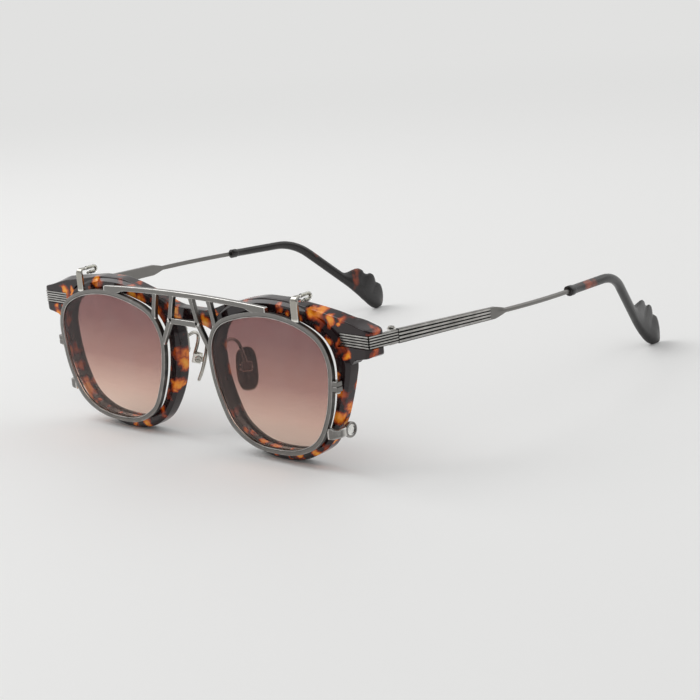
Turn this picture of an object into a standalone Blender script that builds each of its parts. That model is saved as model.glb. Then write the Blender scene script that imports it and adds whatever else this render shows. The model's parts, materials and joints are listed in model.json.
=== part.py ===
"""Square acetate spectacles that carry a removable metal sun clip, standing open on a table.

Metres, +Z up. The front faces -Y, the temples run back along +Y, and +X is the wearer's left.
Points are written from the corner plane, the front of the two metal end pieces: X from the
middle of the bridge, Y back from that plane and Z up from the table. One empty carries it all,
so that the origin lies under the middle of the whole object.
"""

import math

import bmesh
import bpy
import numpy as np

# Fits and edges
FIT = 0.0003  # clearance round a seated piece
BRAZE = 0.0001  # solder film under a brazed foot
EDGE = 0.0002  # broken edge on metal
OVERRUN = 0.002  # how far a cutter runs past what it cuts
SHARP_ANGLE = math.radians(32)
CORNER_SHARE = 0.45  # most of a side that a rounded corner may take

# Lens openings of the acetate front
LENS_WIDTH = 0.0481
LENS_HEIGHT = 0.0410
BRIDGE_WIDTH = 0.0220
OUTLINE_POINTS = 44
FINE_POINTS = 352  # where an outline is only measured
LENS_OUTLINE_SHARES = (
    (1.0, 0.127), (0.994, 0.471), (0.850, 0.746), (0.501, 0.932), (0.04, 1.0), (-0.42, 0.932),
    (-0.813, 0.761), (-0.992, 0.439), (-0.985, 0.029), (-0.886, -0.376), (-0.709, -0.741),
    (-0.368, -0.961), (0.04, -1.0), (0.428, -0.932), (0.736, -0.722), (0.921, -0.322),
)

# Acetate rims, brow and bridge
RIM_WIDTH = 0.0044
RIM_CHIN = 0.0040
RIM_OUTLINE_SHARES = (
    (0.912, 0.607), (0.684, 0.811), (0.385, 0.951), (0.033, 0.992), (-0.318, 0.959), (-0.617, 0.869),
    (-0.859, 0.689), (-0.972, 0.443), (-0.982, 0.156), (-0.955, -0.09), (-0.905, -0.28), (-0.835, -0.45),
    (-0.745, -0.615), (-0.64, -0.76), (-0.50, -0.875), (-0.36, -0.945), (-0.20, -0.985), (0.0, -1.0),
    (0.279, -0.947), (0.508, -0.824),
    (0.673, -0.676), (0.828, -0.377), (0.912, -0.131), (0.986, 0.135), (1.016, 0.361),
)
RIM_CHAMFER = 0.0010
RIM_PROUD = 0.0012
RIM_THICKNESS = 0.0048
RIM_BACK_ROUND = 0.0006
OPENING_EDGE = 0.0003
REST_CUT = 0.0002  # how much the polished flat under each rim takes off
BAR_STEP = 0.0002
BAR_ROUND = 0.0009
BROW_RISE = 0.00455
BROW_DEPTH = 0.0030
BRIDGE_DROP = 0.0024
BRIDGE_HEIGHT = 0.0045
BRIDGE_SHARES = ((0.0, 0.0, 0.0), (0.45, 0.01, -0.10), (0.80, 0.11, -0.35), (1.25, 0.36, 0.45))
BROW_SHARES = (
    (-0.626, 0.61), (-0.376, 0.83), (-0.085, 0.985), (0.206, 0.985), (0.518, 0.87), (0.788, 0.763),
)

# Clear lenses and their groove in the acetate
LENS_THICKNESS = 0.0012
LENS_DOME = 0.0010
LENS_INSERTION = 0.0006
LENS_SETBACK = 0.0018

# End blocks of the acetate front
END_REACH = 0.0080
END_DEPTH = 0.0062
LIP_PROUD = 0.0005
LIP_ABOVE = 0.0017
LIP_BELOW = 0.0024
END_SHOULDER_SHARES = (1.037, 2.09, 0.15)
END_SHARES = (
    (0.10, 1.32, -1.15, 0.25), (0.24, 1.06, -0.66, 0.60), (0.45, 0.79, -0.42, 0.90), (0.80, 0.24, -0.20, 1.0),
)

# Ribbed metal end pieces
PLATE_DROP = 0.00515  # centre of the plate below the top of the lens opening
PLATE_HEIGHT = 0.0039
PLATE_THICKNESS = 0.0011
PLATE_FRONT = 0.0109
END_RIDGES = 5
RIDGE_DEPTH = 0.00028
RIDGE_CREST_SHARE = 0.62
CORNER_NOTCH = 0.00035
PIN_RADIUS = 0.0007
PIN_SHARES = (0.30, 0.68)

# Screws, rivets and pins
HEAD_EASE_SHARE = 0.35
PIN_POINT_SHARE = 0.2
HEAD_SEAT_SHARES = (0.55, 0.45)
PIN_SIDES = 10

# Hinges
HINGE_SETBACK = 0.01145
HINGE_GAP = 0.0003
KNUCKLE_RADIUS = 0.0013
KNUCKLE_REACH = 0.0032
KNUCKLE_CLEARANCE = 0.00025
BARREL_HEIGHT = 0.0043
MIDDLE_KNUCKLE_HEIGHT = 0.0012
HINGE_SCREW_RADIUS = 0.0005
HINGE_HEAD_RADIUS = 0.0010
HINGE_HEAD_HEIGHT = 0.0005

# Temples
SPLAY = math.tan(math.radians(5.6))
SLOPE = math.tan(math.radians(3.22))
ARM_HEIGHT = 0.0043
ARM_END_HEIGHT = 0.0037
ARM_RIDGES = 4
ARM_LENGTH = 0.0376
ARM_BORDER = 0.0016
ARM_TAPER = 0.0050
TAPER_MIDDLE_SHARE = 0.58
WIRE_RADIUS = 0.00075
WIRE_LENGTH = 0.0332
WIRE_INSERTION = 0.0145

# Acetate temple tips
SLEEVE_RADIUS = 0.00138
SLEEVE_COLLAR = 0.00022
COLLAR_LENGTH = 0.0030
COLLAR_SHARES = (0.0, 0.12, 0.8, 1.0)
COLLAR_MOUTH_SHARE = 0.78
SLEEVE_RUN = 0.0303
SLEEVE_TOE_IN = math.tan(math.radians(5.9))
EAR_DROP_ANGLE = math.radians(42.5)
EAR_TUCK_SHARE = 0.328
EAR_BEND_CUT = 0.0085
STRAIGHT_SHARES = (0.0, 0.35, 0.7)
BEND_STEPS = 6
STEM_HALF_WIDTH = 0.0017
STEM_HALF_THICKNESS = 0.0014
TIP_SIDES = 12
PADDLE_HALF_THICKNESS = 0.00095
PADDLE_LENGTH = 0.0256
PADDLE_WIDTH = 0.0089
PADDLE_FLARE = 0.0034
PADDLE_LIFT = 0.0007
FLARE_START_SHARE = 0.2
FLAT_GAIN_SHARE = 0.33
PADDLE_END_SHARE = 0.9
PADDLE_THINNED_SHARE = 0.75
PADDLE_SHARES = (
    (0.00, 0.19, 0.19), (0.06, 0.23, 0.19), (0.11, 0.34, 0.19), (0.17, 0.55, 0.19), (0.23, 0.73, 0.19),
    (0.29, 0.82, 0.20), (0.35, 0.84, 0.21), (0.41, 0.79, 0.22), (0.455, 0.83, 0.23), (0.51, 0.96, 0.24),
    (0.57, 0.99, 0.26), (0.63, 0.92, 0.27), (0.69, 0.80, 0.28), (0.73, 0.83, 0.29), (0.79, 0.85, 0.29),
    (0.85, 0.78, 0.27), (0.91, 0.65, 0.22), (0.96, 0.50, 0.10), (0.99, 0.34, -0.02),
)

# Nose pads and their arms
PAD_BOX_OUT = 0.0111
PAD_BOX_BACK = 0.0105
PAD_BOX_DROP = 0.0220
PAD_TURN = math.radians(42)
PAD_LEAN = math.radians(18)
PAD_LENGTH = 0.0136
PAD_WIDTH = 0.0067
PAD_SQUARENESS = 3.0  # 2 would be an oval
PAD_SIDES = 20
PAD_EDGE_SHARES = ((0.0, 0.55), (0.0, 0.93), (0.5, 1.0), (1.0, 0.93), (1.0, 0.55))
PAD_THICKNESS = 0.0011
PAD_STANDOFF = 0.0015
PAD_DISH = 0.0006
PAD_DROP = 0.0005
BOX_WIDTH = 0.0032
BOX_HEIGHT = 0.0030
BOX_CHEEK = 0.0007
LUG_RADIUS = 0.0009
PAD_SCREW_RADIUS = 0.0004
PAD_HEAD_RADIUS = 0.0011
PAD_HEAD_HEIGHT = 0.0005
PAD_WIRE_RADIUS = 0.00055
ARM_PLATE_WIDTH = 0.0020
ARM_PLATE_THICKNESS = 0.0008
ARM_PLATE_TOP = 0.0093  # from the top of the lens opening
ARM_PLATE_LENGTH = 0.0092
ARM_PLATE_SHARES = ((0.0, 0.45), (0.1, 0.9), (0.5, 1.0), (0.9, 0.9), (1.0, 0.45))
WIRE_ROOT_SHARE = 0.42
PAD_WIRE_SHARES = ((0.0, 0.55, 0.0), (0.15, 0.92, 0.12), (0.45, 1.0, 0.50))
RIVET_RADIUS = 0.0005
RIVET_HEAD_RADIUS = 0.0008
RIVET_HEAD_HEIGHT = 0.0003
RIVET_DEPTH = 0.0020
RIVET_SHARES = (0.16, 0.84)

# Sun clip: rims, bars and struts
CLIP_STANDOFF = 0.0015
CLIP_RIM = 0.0010
CLIP_INSET = 0.0006
CLIP_DEPTH = 0.0016
CLIP_GROOVE = 0.0006
CLIP_LENS_THICKNESS = 0.0008
CLIP_BAR_SETBACK = 0.0001
CLIP_BAR_HEIGHT = 0.00165
CLIP_BAR_RISE = 0.0026
CLIP_BAR_FALL = 0.0011
CLIP_BAR_REACH_SHARE = 0.035
CLIP_BAR_SHARES = (0.18, 0.36, 0.56, 0.76, 0.86, 1.0)
CLIP_STEP_SHARE = 0.8  # past here the bar stands on the rim as a step
CLIP_LOWER_BAR_DROP = 0.0062
CLIP_LOWER_BAR_HEIGHT = 0.0018
STRUT_WIDTH = 0.0016
OUTER_STRUT_TOP = 0.0118
OUTER_STRUT_FOOT = 0.0138
INNER_STRUT_TOP = 0.0040
INNER_STRUT_FOOT = 0.0063
LEG_FOOT_SHARE = 0.34
CLOSING_BLOCK_REACH = 0.0019
CLOSING_BLOCK_HEIGHT = 0.0031
CLOSING_BLOCK_DEPTH = 0.0024
CLOSING_BLOCK_SHARE = 0.12
RIM_SPLIT = 0.0003
RIM_SCREW_RADIUS = 0.00035
RIM_HEAD_RADIUS = 0.00075
RIM_HEAD_HEIGHT = 0.0004

# Clip hooks over the brow
HOOK_PLACE_SHARE = 0.522
HOOK_WIDTH = 0.0027
HOOK_THICKNESS = 0.0009
HOOK_WIRE_RADIUS = 0.00035
SLEEVE_WALL = 0.0002
HOOK_CURL_RADIUS = 0.00095
HOOK_BEND_SHARES = ((0.0, 1.6), (0.0, 0.9), (0.35, 0.25), (1.0, 0.0))
HOOK_SHOULDER_SHARES = ((0.0, 1.0), (0.6, 0.3))
HOOK_REST = 0.0022
CURL_RETURN = 0.0026

# Clip claws round the lower outer corners
CLAW_ABOVE_CHIN = 0.0082
CLAW_HEIGHT = 0.0026
CLAW_ROOT_HEIGHT = 0.0036
CLAW_THICKNESS = 0.0008
CLAW_CUP_RADIUS = 0.0024
CLAW_CUP_BORE = 0.0017
CLAW_CUP_WIDTH = 0.0010
CLAW_CUP_BACK = 0.0023
CLAW_BEND_SHARE = 0.3
CLAW_NECK_SHARE = 0.8
CLAW_FOOT_RADIUS = 0.0020
CLAW_FOOT_WIDTH = 0.0006

# Places that follow from the sizes above
LENS_X = BRIDGE_WIDTH / 2 + LENS_WIDTH / 2
LENS_Z = RIM_CHIN - REST_CUT + LENS_HEIGHT / 2
LENS_TOP = LENS_Z + LENS_HEIGHT / 2
RIM_FRONT = -RIM_PROUD
RIM_BACK = RIM_FRONT + RIM_THICKNESS
RIM_SIDE_X = LENS_X + LENS_WIDTH / 2 + RIM_WIDTH
CORNER_X = RIM_SIDE_X + END_REACH
BAR_FRONT = RIM_FRONT + RIM_CHAMFER
BAR_BACK = RIM_BACK - BAR_STEP
PLATE_Z = LENS_TOP - PLATE_DROP
BROW_TOP = LENS_TOP + BROW_RISE
BRIDGE_TOP = LENS_TOP - BRIDGE_DROP
GROOVE_FRONT = RIM_FRONT + LENS_SETBACK
HINGE_X = CORNER_X + HINGE_SETBACK * SPLAY - PLATE_THICKNESS - KNUCKLE_RADIUS - KNUCKLE_CLEARANCE
HINGE_Z = PLATE_Z - SLOPE * (HINGE_SETBACK - PLATE_THICKNESS)
HINGE = np.array((HINGE_X, HINGE_SETBACK, HINGE_Z))
CLIP_BACK = RIM_FRONT - CLIP_STANDOFF
HOOK_PLACE = LENS_X + HOOK_PLACE_SHARE * LENS_WIDTH / 2
CLIP_FRONT = CLIP_BACK - CLIP_DEPTH
CLIP_TOP = LENS_TOP + CLIP_RIM
CLIP_BAR_REACH = LENS_X + CLIP_BAR_REACH_SHARE * LENS_WIDTH / 2
CLIP_GROOVE_FRONT = (CLIP_FRONT + CLIP_BACK - CLIP_LENS_THICKNESS) / 2 - FIT / 2


def tinted(code, share=1.0):
    """A colour code as linear red, green and blue, darkened to the share given."""
    parts = [int(code[i : i + 2], 16) / 255 for i in (0, 2, 4)]
    return [share * (c / 12.92 if c <= 0.04045 else ((c + 0.055) / 1.055) ** 2.4) for c in parts] + [1.0]


def finish(name, code, roughness, metallic=0.0, see_through=0.0):
    """A material with one principled shader."""
    made = bpy.data.materials.new(name)
    made.use_nodes = True
    shader = made.node_tree.nodes["Principled BSDF"]
    shader.inputs["Base Color"].default_value = tinted(code)
    shader.inputs["Roughness"].default_value = roughness
    shader.inputs["Metallic"].default_value = metallic
    shader.inputs["Transmission Weight"].default_value = see_through
    return made


def skin(loops, around=False):
    """Points and faces of loops of equal count joined one after another, capped or closed on themselves."""
    count = len(loops[0])
    stack = len(loops)
    faces = []
    for level in range(stack if around else stack - 1):
        low, high = level * count, (level + 1) % stack * count
        for i in range(count):
            j = (i + 1) % count
            faces.append((low + i, low + j, high + j, high + i))
    if not around:
        faces.append(tuple(range(count)))
        faces.append(tuple(range((stack - 1) * count, stack * count)))
    return np.concatenate([np.asarray(loop, float) for loop in loops]), faces


def solid(name, shape, surface, parent, origin=(0.0, 0.0, 0.0), side=1.0):
    """A named object of points and faces whose own origin is the point given, mirrored for side -1."""
    points, faces = shape
    flip = np.array((side, 1.0, 1.0))
    mesh = bpy.data.meshes.new(name)
    mesh.from_pydata(((points - np.asarray(origin)) * flip).tolist(), [], faces)
    editor = bmesh.new()
    editor.from_mesh(mesh)
    bmesh.ops.recalc_face_normals(editor, faces=editor.faces)
    editor.to_mesh(mesh)
    editor.free()
    mesh.shade_smooth()
    mesh.set_sharp_from_angle(angle=SHARP_ANGLE)
    made = bpy.data.objects.new(name, mesh)
    bpy.context.scene.collection.objects.link(made)
    made.parent = parent
    made.location = np.asarray(origin) * flip - np.array(parent.get("place", (0.0, 0.0, 0.0)))
    made["place"] = (np.asarray(origin) * flip).tolist()
    if surface:
        mesh.materials.append(surface)
    return made


def tool(name, shape, parent, side=1.0):
    """A shape that only cuts or joins another."""
    made = solid(name, shape, None, parent, side=side)
    made.hide_render = True
    made.display_type = "WIRE"
    return made


def apply_tool(target, other, operation):
    """Cuts the other shape from the target, or joins the two."""
    change = target.modifiers.new(other.name, "BOOLEAN")
    change.operation = operation
    change.solver = "EXACT"
    change.object = other


def empty(name, place):
    """A point that carries other objects."""
    made = bpy.data.objects.new(name, None)
    bpy.context.scene.collection.objects.link(made)
    made.location = place
    return made


def smooth_ring(shares, per_span=24):
    """A closed curve through the points, each stretch a cubic that leaves a point along its neighbours."""
    points = np.asarray(shares, float)
    u = np.linspace(0.0, 1.0, per_span, endpoint=False)[:, None]
    spans = []
    for i in range(len(points)):
        a, b, c, d = (points[(i + k) % len(points)] for k in (-1, 0, 1, 2))
        spans.append(
            b + 0.5 * u * (c - a + u * (2 * a - 5 * b + 4 * c - d + u * (3 * (b - c) + d - a)))
        )
    return np.concatenate(spans)


def spread(curve, count):
    """Points set evenly along a closed curve, with the outward normals there."""
    ring = np.vstack([curve, curve[:1]])
    run = np.concatenate([[0.0], np.cumsum(np.linalg.norm(np.diff(ring, axis=0), axis=1))])
    marks = np.linspace(0.0, run[-1], count, endpoint=False)
    points = np.stack([np.interp(marks, run, ring[:, k]) for k in (0, 1)], axis=1)
    along = np.roll(points, -1, axis=0) - np.roll(points, 1, axis=0)
    normals = np.stack([along[:, 1], -along[:, 0]], axis=1)
    return points, normals / np.linalg.norm(normals, axis=1)[:, None]


def grown_outline(curve, offset, y, count):
    """A closed curve about the lens's middle, grown by the offset; nothing of it goes below the table."""
    points, normals = spread(curve, count)
    grown = points + normals * offset
    return np.stack(
        [LENS_X + grown[:, 0], np.full(count, y), np.maximum(LENS_Z + grown[:, 1], 0.0)], axis=1
    )


def lens_outline(offset, y, count=OUTLINE_POINTS):
    """The lens opening's outline grown by the offset."""
    curve = smooth_ring(LENS_OUTLINE_SHARES) * (LENS_WIDTH / 2, LENS_HEIGHT / 2)
    return grown_outline(curve, offset, y, count)


def rim_outline(offset, y, count=OUTLINE_POINTS):
    """An acetate rim's outer outline grown by the offset."""
    curve = smooth_ring(RIM_OUTLINE_SHARES) * (LENS_WIDTH / 2 + RIM_WIDTH, LENS_HEIGHT / 2 + RIM_CHIN)
    return grown_outline(curve, offset, y, count)


def top_of(ring, x):
    """How high the upper side of a ring round the lens is at x."""
    upper = ring[ring[:, 2] > LENS_Z]
    upper = upper[np.argsort(upper[:, 0])]
    return float(np.interp(x, upper[:, 0], upper[:, 2]))


def side_of(ring, z, way=1.0):
    """How far out the outer side of a ring round the lens is at height z, or the nose side for way -1."""
    outer = ring[(ring[:, 0] - LENS_X) * way > 0]
    outer = outer[np.argsort(outer[:, 2])]
    return float(np.interp(z, outer[:, 2], outer[:, 0]))


def height_on_outline(x, offset):
    """How high the upper side of the grown lens outline is at x."""
    return top_of(lens_outline(offset, 0.0, FINE_POINTS), x)


def side_on_outline(z, offset):
    """How far out the outer side of the grown lens outline is at height z."""
    return side_of(lens_outline(offset, 0.0, FINE_POINTS), z)


def prism(outline, low, high, axis=2):
    """An outline of two coordinates carried along the axis from low to high."""
    outline = np.asarray(outline, float)
    loops = [np.insert(outline, axis, level, axis=1) for level in (low, high)]
    return skin(loops)


def disc(radius, sides, centre=(0.0, 0.0)):
    """A circle's points."""
    turn = np.arange(sides) * 2 * math.pi / sides
    return np.stack([centre[0] + radius * np.cos(turn), centre[1] + radius * np.sin(turn)], axis=1)


def round_box(low_y, high_y, low_z, high_z, radius):
    """A rectangle in Y and Z with three points round each corner."""
    radius = min(radius, CORNER_SHARE * (high_y - low_y), CORNER_SHARE * (high_z - low_z))
    corners = ((high_y, low_z, -90), (high_y, high_z, 0), (low_y, high_z, 90), (low_y, low_z, 180))
    points = []
    for y, z, first in corners:
        middle_y = y - math.copysign(radius, y - low_y - radius)
        middle_z = z - math.copysign(radius, z - low_z - radius)
        for step in (0, 45, 90):
            turn = math.radians(first + step)
            points.append((middle_y + radius * math.cos(turn), middle_z + radius * math.sin(turn)))
    return np.array(points)


def brow_stations():
    """Places along the brow bar: how far out, top, bottom, back and how much the section draws in."""
    lift = BROW_TOP - BRIDGE_TOP
    rows = []
    for across, rise, sag in BRIDGE_SHARES:
        bottom = BRIDGE_TOP - BRIDGE_HEIGHT + sag * BRIDGE_HEIGHT
        rows.append((across * BRIDGE_WIDTH / 2, BRIDGE_TOP + rise * lift, bottom, BAR_BACK, 0.0))
    for across, rise in BROW_SHARES:
        top = BRIDGE_TOP + rise * lift
        rows.append((LENS_X + across * LENS_WIDTH / 2, top, top - BROW_DEPTH, BAR_BACK, 0.0))
    plate_top = PLATE_Z + PLATE_HEIGHT / 2
    plate_bottom = PLATE_Z - PLATE_HEIGHT / 2
    across, rise, sag = END_SHOULDER_SHARES
    x = LENS_X + across * LENS_WIDTH / 2
    rows.append((x, plate_top + (1 + rise) * LIP_ABOVE, plate_bottom + sag * LIP_BELOW, BAR_BACK, 0.0))
    for across, rise, sag, back in END_SHARES:
        x = RIM_SIDE_X + across * END_REACH
        bottom = plate_bottom - LIP_BELOW * (1 - sag)
        depth = BAR_BACK + back * (END_DEPTH - BAR_BACK)
        rows.append((x, plate_top + (1 + rise) * LIP_ABOVE, min(bottom, plate_bottom), depth, 0.0))
    ends = (plate_top + LIP_ABOVE, plate_bottom - LIP_BELOW, END_DEPTH)
    rows.append((CORNER_X + LIP_PROUD - BAR_ROUND / 2, *ends, 0.0))
    rows.append((CORNER_X + LIP_PROUD, *ends, BAR_ROUND / 2))
    return rows


def arm_fall(y):
    """How much lower the end pieces, end blocks and temples run at a distance behind the corner."""
    return SLOPE * np.maximum(np.asarray(y) - PLATE_THICKNESS, 0.0)


def brow_bar():
    """The bridge, brow and both end blocks as rounded boxes carried from side to side."""
    half = []
    for x, top, bottom, back, draw in brow_stations():
        section = round_box(BAR_FRONT + draw, back - draw, bottom + draw, top - draw, BAR_ROUND)
        lean = (back - BAR_BACK) / (END_DEPTH - BAR_BACK)
        section[:, 1] -= lean * arm_fall(section[:, 0])
        half.append(np.insert(section, 0, x, axis=1))
    other = [loop * (-1.0, 1.0, 1.0) for loop in reversed(half[1:])]
    return skin(other + half)


def rim_body():
    """One acetate rim before it is opened: chamfered in front, rounded behind, flat underneath."""
    steps = (
        (-RIM_CHAMFER, RIM_FRONT),
        (0.0, RIM_FRONT + RIM_CHAMFER),
        (0.0, RIM_BACK - RIM_BACK_ROUND),
        (-RIM_BACK_ROUND, RIM_BACK),
    )
    return skin([rim_outline(offset, y) for offset, y in steps])


def lens_opening():
    """What is cut from a rim: the opening, its eased edges and the groove that holds the lens."""
    groove_back = GROOVE_FRONT + LENS_THICKNESS + 2 * FIT
    deep = LENS_INSERTION + FIT
    steps = (
        (OPENING_EDGE, RIM_FRONT - OVERRUN),
        (OPENING_EDGE, RIM_FRONT),
        (0.0, RIM_FRONT + OPENING_EDGE),
        (0.0, GROOVE_FRONT),
        (deep, GROOVE_FRONT),
        (deep, groove_back),
        (0.0, groove_back),
        (0.0, RIM_BACK - RIM_BACK_ROUND),
        (RIM_BACK_ROUND, RIM_BACK),
        (RIM_BACK_ROUND, RIM_BACK + OVERRUN),
    )
    return skin([lens_outline(offset, y) for offset, y in steps])


def domed_lens(insertion, front, thickness, dome):
    """A lens: an edge of even thickness and two faces that bow forward alike."""
    rim = lens_outline(insertion, front)
    middle = np.array((LENS_X, front, LENS_Z))
    rings = []
    for share in (0.36, 0.72, 1.0):
        ring = middle + (rim - middle) * share
        ring[:, 1] = front - dome * (1 - share**2)
        rings.append(ring)
    back = [ring + (0.0, thickness, 0.0) for ring in rings]
    return skin(rings + back[::-1])


def plate_slot():
    """The L-shaped slot that the metal end piece lies in, with its clearance."""
    inner = PLATE_THICKNESS + FIT
    start = CORNER_X - PLATE_FRONT - FIT
    out = CORNER_X + LIP_PROUD + OVERRUN
    behind = END_DEPTH + OVERRUN
    outline = (
        (start, BAR_FRONT - OVERRUN),
        (out, BAR_FRONT - OVERRUN),
        (out, behind),
        (CORNER_X + behind * SPLAY - inner, behind),
        (CORNER_X + inner * SPLAY - inner, inner),
        (start, inner),
    )
    half = PLATE_HEIGHT / 2 + FIT / 2
    points, faces = prism(outline, PLATE_Z - half, PLATE_Z + half)
    points[:, 2] -= arm_fall(points[:, 1])
    return points, faces


def pin_places():
    """How far out each pin of an end piece stands, and how deep the acetate is there."""
    rows = brow_stations()
    places = [CORNER_X - PLATE_FRONT * (1 - share) for share in PIN_SHARES]
    return [(x, float(np.interp(x, [row[0] for row in rows], [row[3] for row in rows]))) for x in places]


def front_frame(parent, surface):
    """The acetate front: brow bar and two rims joined, then opened, slotted and drilled."""
    made = solid("front_frame", brow_bar(), surface, parent)
    for side in (1.0, -1.0):
        apply_tool(made, tool("rim_shape", rim_body(), parent, side), "UNION")
    for side in (1.0, -1.0):
        apply_tool(made, tool("lens_opening", lens_opening(), parent, side), "DIFFERENCE")
        apply_tool(made, tool("plate_slot", plate_slot(), parent, side), "DIFFERENCE")
        for x, deep in pin_places():
            hole = prism(disc(PIN_RADIUS + FIT, 10, (x, PLATE_Z)), 0.0, END_DEPTH + OVERRUN, axis=1)
            apply_tool(made, tool("pin_hole", hole, parent, side), "DIFFERENCE")
    return made


def ridged_section(height, thickness, ridges, depth):
    """Outward and upward places of a plate's section: ridges outside, a plain face inside."""
    pitch = height / ridges
    crest = RIDGE_CREST_SHARE * pitch / 2
    points = []
    for i in range(ridges):
        middle = (i + 0.5) * pitch - height / 2
        if i:
            points.append((-depth, middle - pitch / 2))
        points.append((0.0, middle - crest))
        points.append((0.0, middle + crest))
    inner = EDGE - thickness
    points += [(-thickness / 2, height / 2), (inner, height / 2), (-thickness, height / 2 - EDGE)]
    points += [(-thickness, EDGE - height / 2), (inner, -height / 2), (-thickness / 2, -height / 2)]
    return np.array(points)


def placed_section(section, x, y, z, outward):
    """A section stood up at a point, its outward side along the direction given in plan."""
    out, up = section[:, :1], section[:, 1]
    plan = np.array((x, y)) + out * np.array(outward)
    return np.stack([plan[:, 0], plan[:, 1], z + up], axis=1)


def end_plate():
    """The ribbed plate: along the front, round the corner with a dark notch, and back to the hinge."""
    full = ridged_section(PLATE_HEIGHT, PLATE_THICKNESS, END_RIDGES, RIDGE_DEPTH)
    notched = full - np.where(full[:, :1] > -PLATE_THICKNESS / 2, (CORNER_NOTCH, 0.0), (0.0, 0.0))
    seam = HINGE_SETBACK - HINGE_GAP / 2
    lean = 1 - (CORNER_NOTCH - EDGE) / PLATE_THICKNESS
    loops = [placed_section(full, CORNER_X - PLATE_FRONT, 0.0, PLATE_Z, (0.0, -1.0))]
    loops.append(placed_section(full, CORNER_X - CORNER_NOTCH, 0.0, PLATE_Z, (lean, -1.0)))
    loops.append(placed_section(notched, CORNER_X, 0.0, PLATE_Z, (1.0, -1.0)))
    loops.append(placed_section(full, CORNER_X, CORNER_NOTCH, PLATE_Z, (1.0, -lean)))
    loops.append(placed_section(full, CORNER_X + seam * SPLAY, seam, PLATE_Z - arm_fall(seam), (1.0, 0.0)))
    return skin(loops)


def knuckle(low, high, way):
    """A hinge knuckle and its root on the plate: behind the pin for way 1, in front of it for -1."""
    root_out = KNUCKLE_RADIUS + KNUCKLE_CLEARANCE + PLATE_THICKNESS / 2
    near = way * (HINGE_GAP / 2 + EDGE)
    far = way * KNUCKLE_REACH
    turn = np.radians(np.linspace(-20, 230, 9)) * -way
    arc = [(KNUCKLE_RADIUS * math.cos(t), KNUCKLE_RADIUS * math.sin(t)) for t in turn]
    outline = [(root_out + far * SPLAY, far), (root_out, near)] + arc
    points = np.array(outline) + HINGE[:2]
    return prism(points, HINGE_Z + low, HINGE_Z + high)


def hinge_bore(parent, side):
    """The hole down through all knuckles of one hinge."""
    bore = disc(HINGE_SCREW_RADIUS + FIT, 10, HINGE[:2])
    reach = BARREL_HEIGHT / 2 + OVERRUN
    return tool("hinge_bore", prism(bore, HINGE_Z - reach, HINGE_Z + reach), parent, side)


def end_piece(name, parent, surface, side):
    """One ribbed end piece: plate, two riveted pins and the outer two hinge knuckles."""
    made = solid(name, end_plate(), surface, parent, side=side)
    half = MIDDLE_KNUCKLE_HEIGHT / 2 + FIT
    for low, high in ((half, BARREL_HEIGHT / 2), (-BARREL_HEIGHT / 2, -half)):
        apply_tool(made, tool("outer_knuckle", knuckle(low, high, -1), parent, side), "UNION")
    for x, deep in pin_places():
        pin = prism(disc(PIN_RADIUS, 8, (x, PLATE_Z)), PLATE_THICKNESS / 2, deep - EDGE, axis=1)
        apply_tool(made, tool("end_pin", pin, parent, side), "UNION")
    apply_tool(made, hinge_bore(parent, side), "DIFFERENCE")
    return made


def headed_pin(shank, shank_ends, head, head_ends, slot=True):
    """A turned pin along Z: a shank, a head with an eased edge and a dished slot seat."""
    head_low, head_high = head_ends
    low, high = shank_ends
    ease = HEAD_EASE_SHARE * abs(head_high - head_low)
    point = PIN_POINT_SHARE * shank
    shoulder = head_high - math.copysign(ease, head_high - head_low)
    steps = [(shank - point, low), (shank, low + point), (shank, high), (head, head_low)]
    steps += [(head, shoulder), (head - ease, head_high)]
    steps += [(HEAD_SEAT_SHARES[0] * head, head_high), (HEAD_SEAT_SHARES[1] * head, shoulder)]
    if not slot:
        steps = steps[:-2]
    return skin([np.insert(disc(radius, PIN_SIDES), 2, z, axis=1) for radius, z in steps])


def hinge_screw(name, parent, surface, side):
    """The screw that the temple turns on, its head on the upper knuckle."""
    top = BARREL_HEIGHT / 2 + FIT / 2
    points, faces = headed_pin(
        HINGE_SCREW_RADIUS,
        (-BARREL_HEIGHT / 2, top),
        HINGE_HEAD_RADIUS,
        (top, top + HINGE_HEAD_HEIGHT),
    )
    return solid(name, (points + HINGE, faces), surface, parent, HINGE, side)


def temple_line(back):
    """Centre of the temple at a distance behind the hinge: splayed along the arm, then bowed in."""
    arm = ARM_LENGTH + ARM_BORDER
    past = max(0.0, back - arm)
    wire = ARM_TAPER + WIRE_LENGTH
    ease = SPLAY + SLEEVE_TOE_IN
    drift = SPLAY * past - ease * past**2 / (2 * wire) if past < wire else None
    if drift is None:
        drift = (SPLAY - ease / 2) * wire - SLEEVE_TOE_IN * (past - wire)
    x = HINGE_X + KNUCKLE_RADIUS + KNUCKLE_CLEARANCE + PLATE_THICKNESS + SPLAY * min(back, arm) + drift
    return np.array((x, HINGE_SETBACK + back, HINGE_Z - SLOPE * back))


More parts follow.
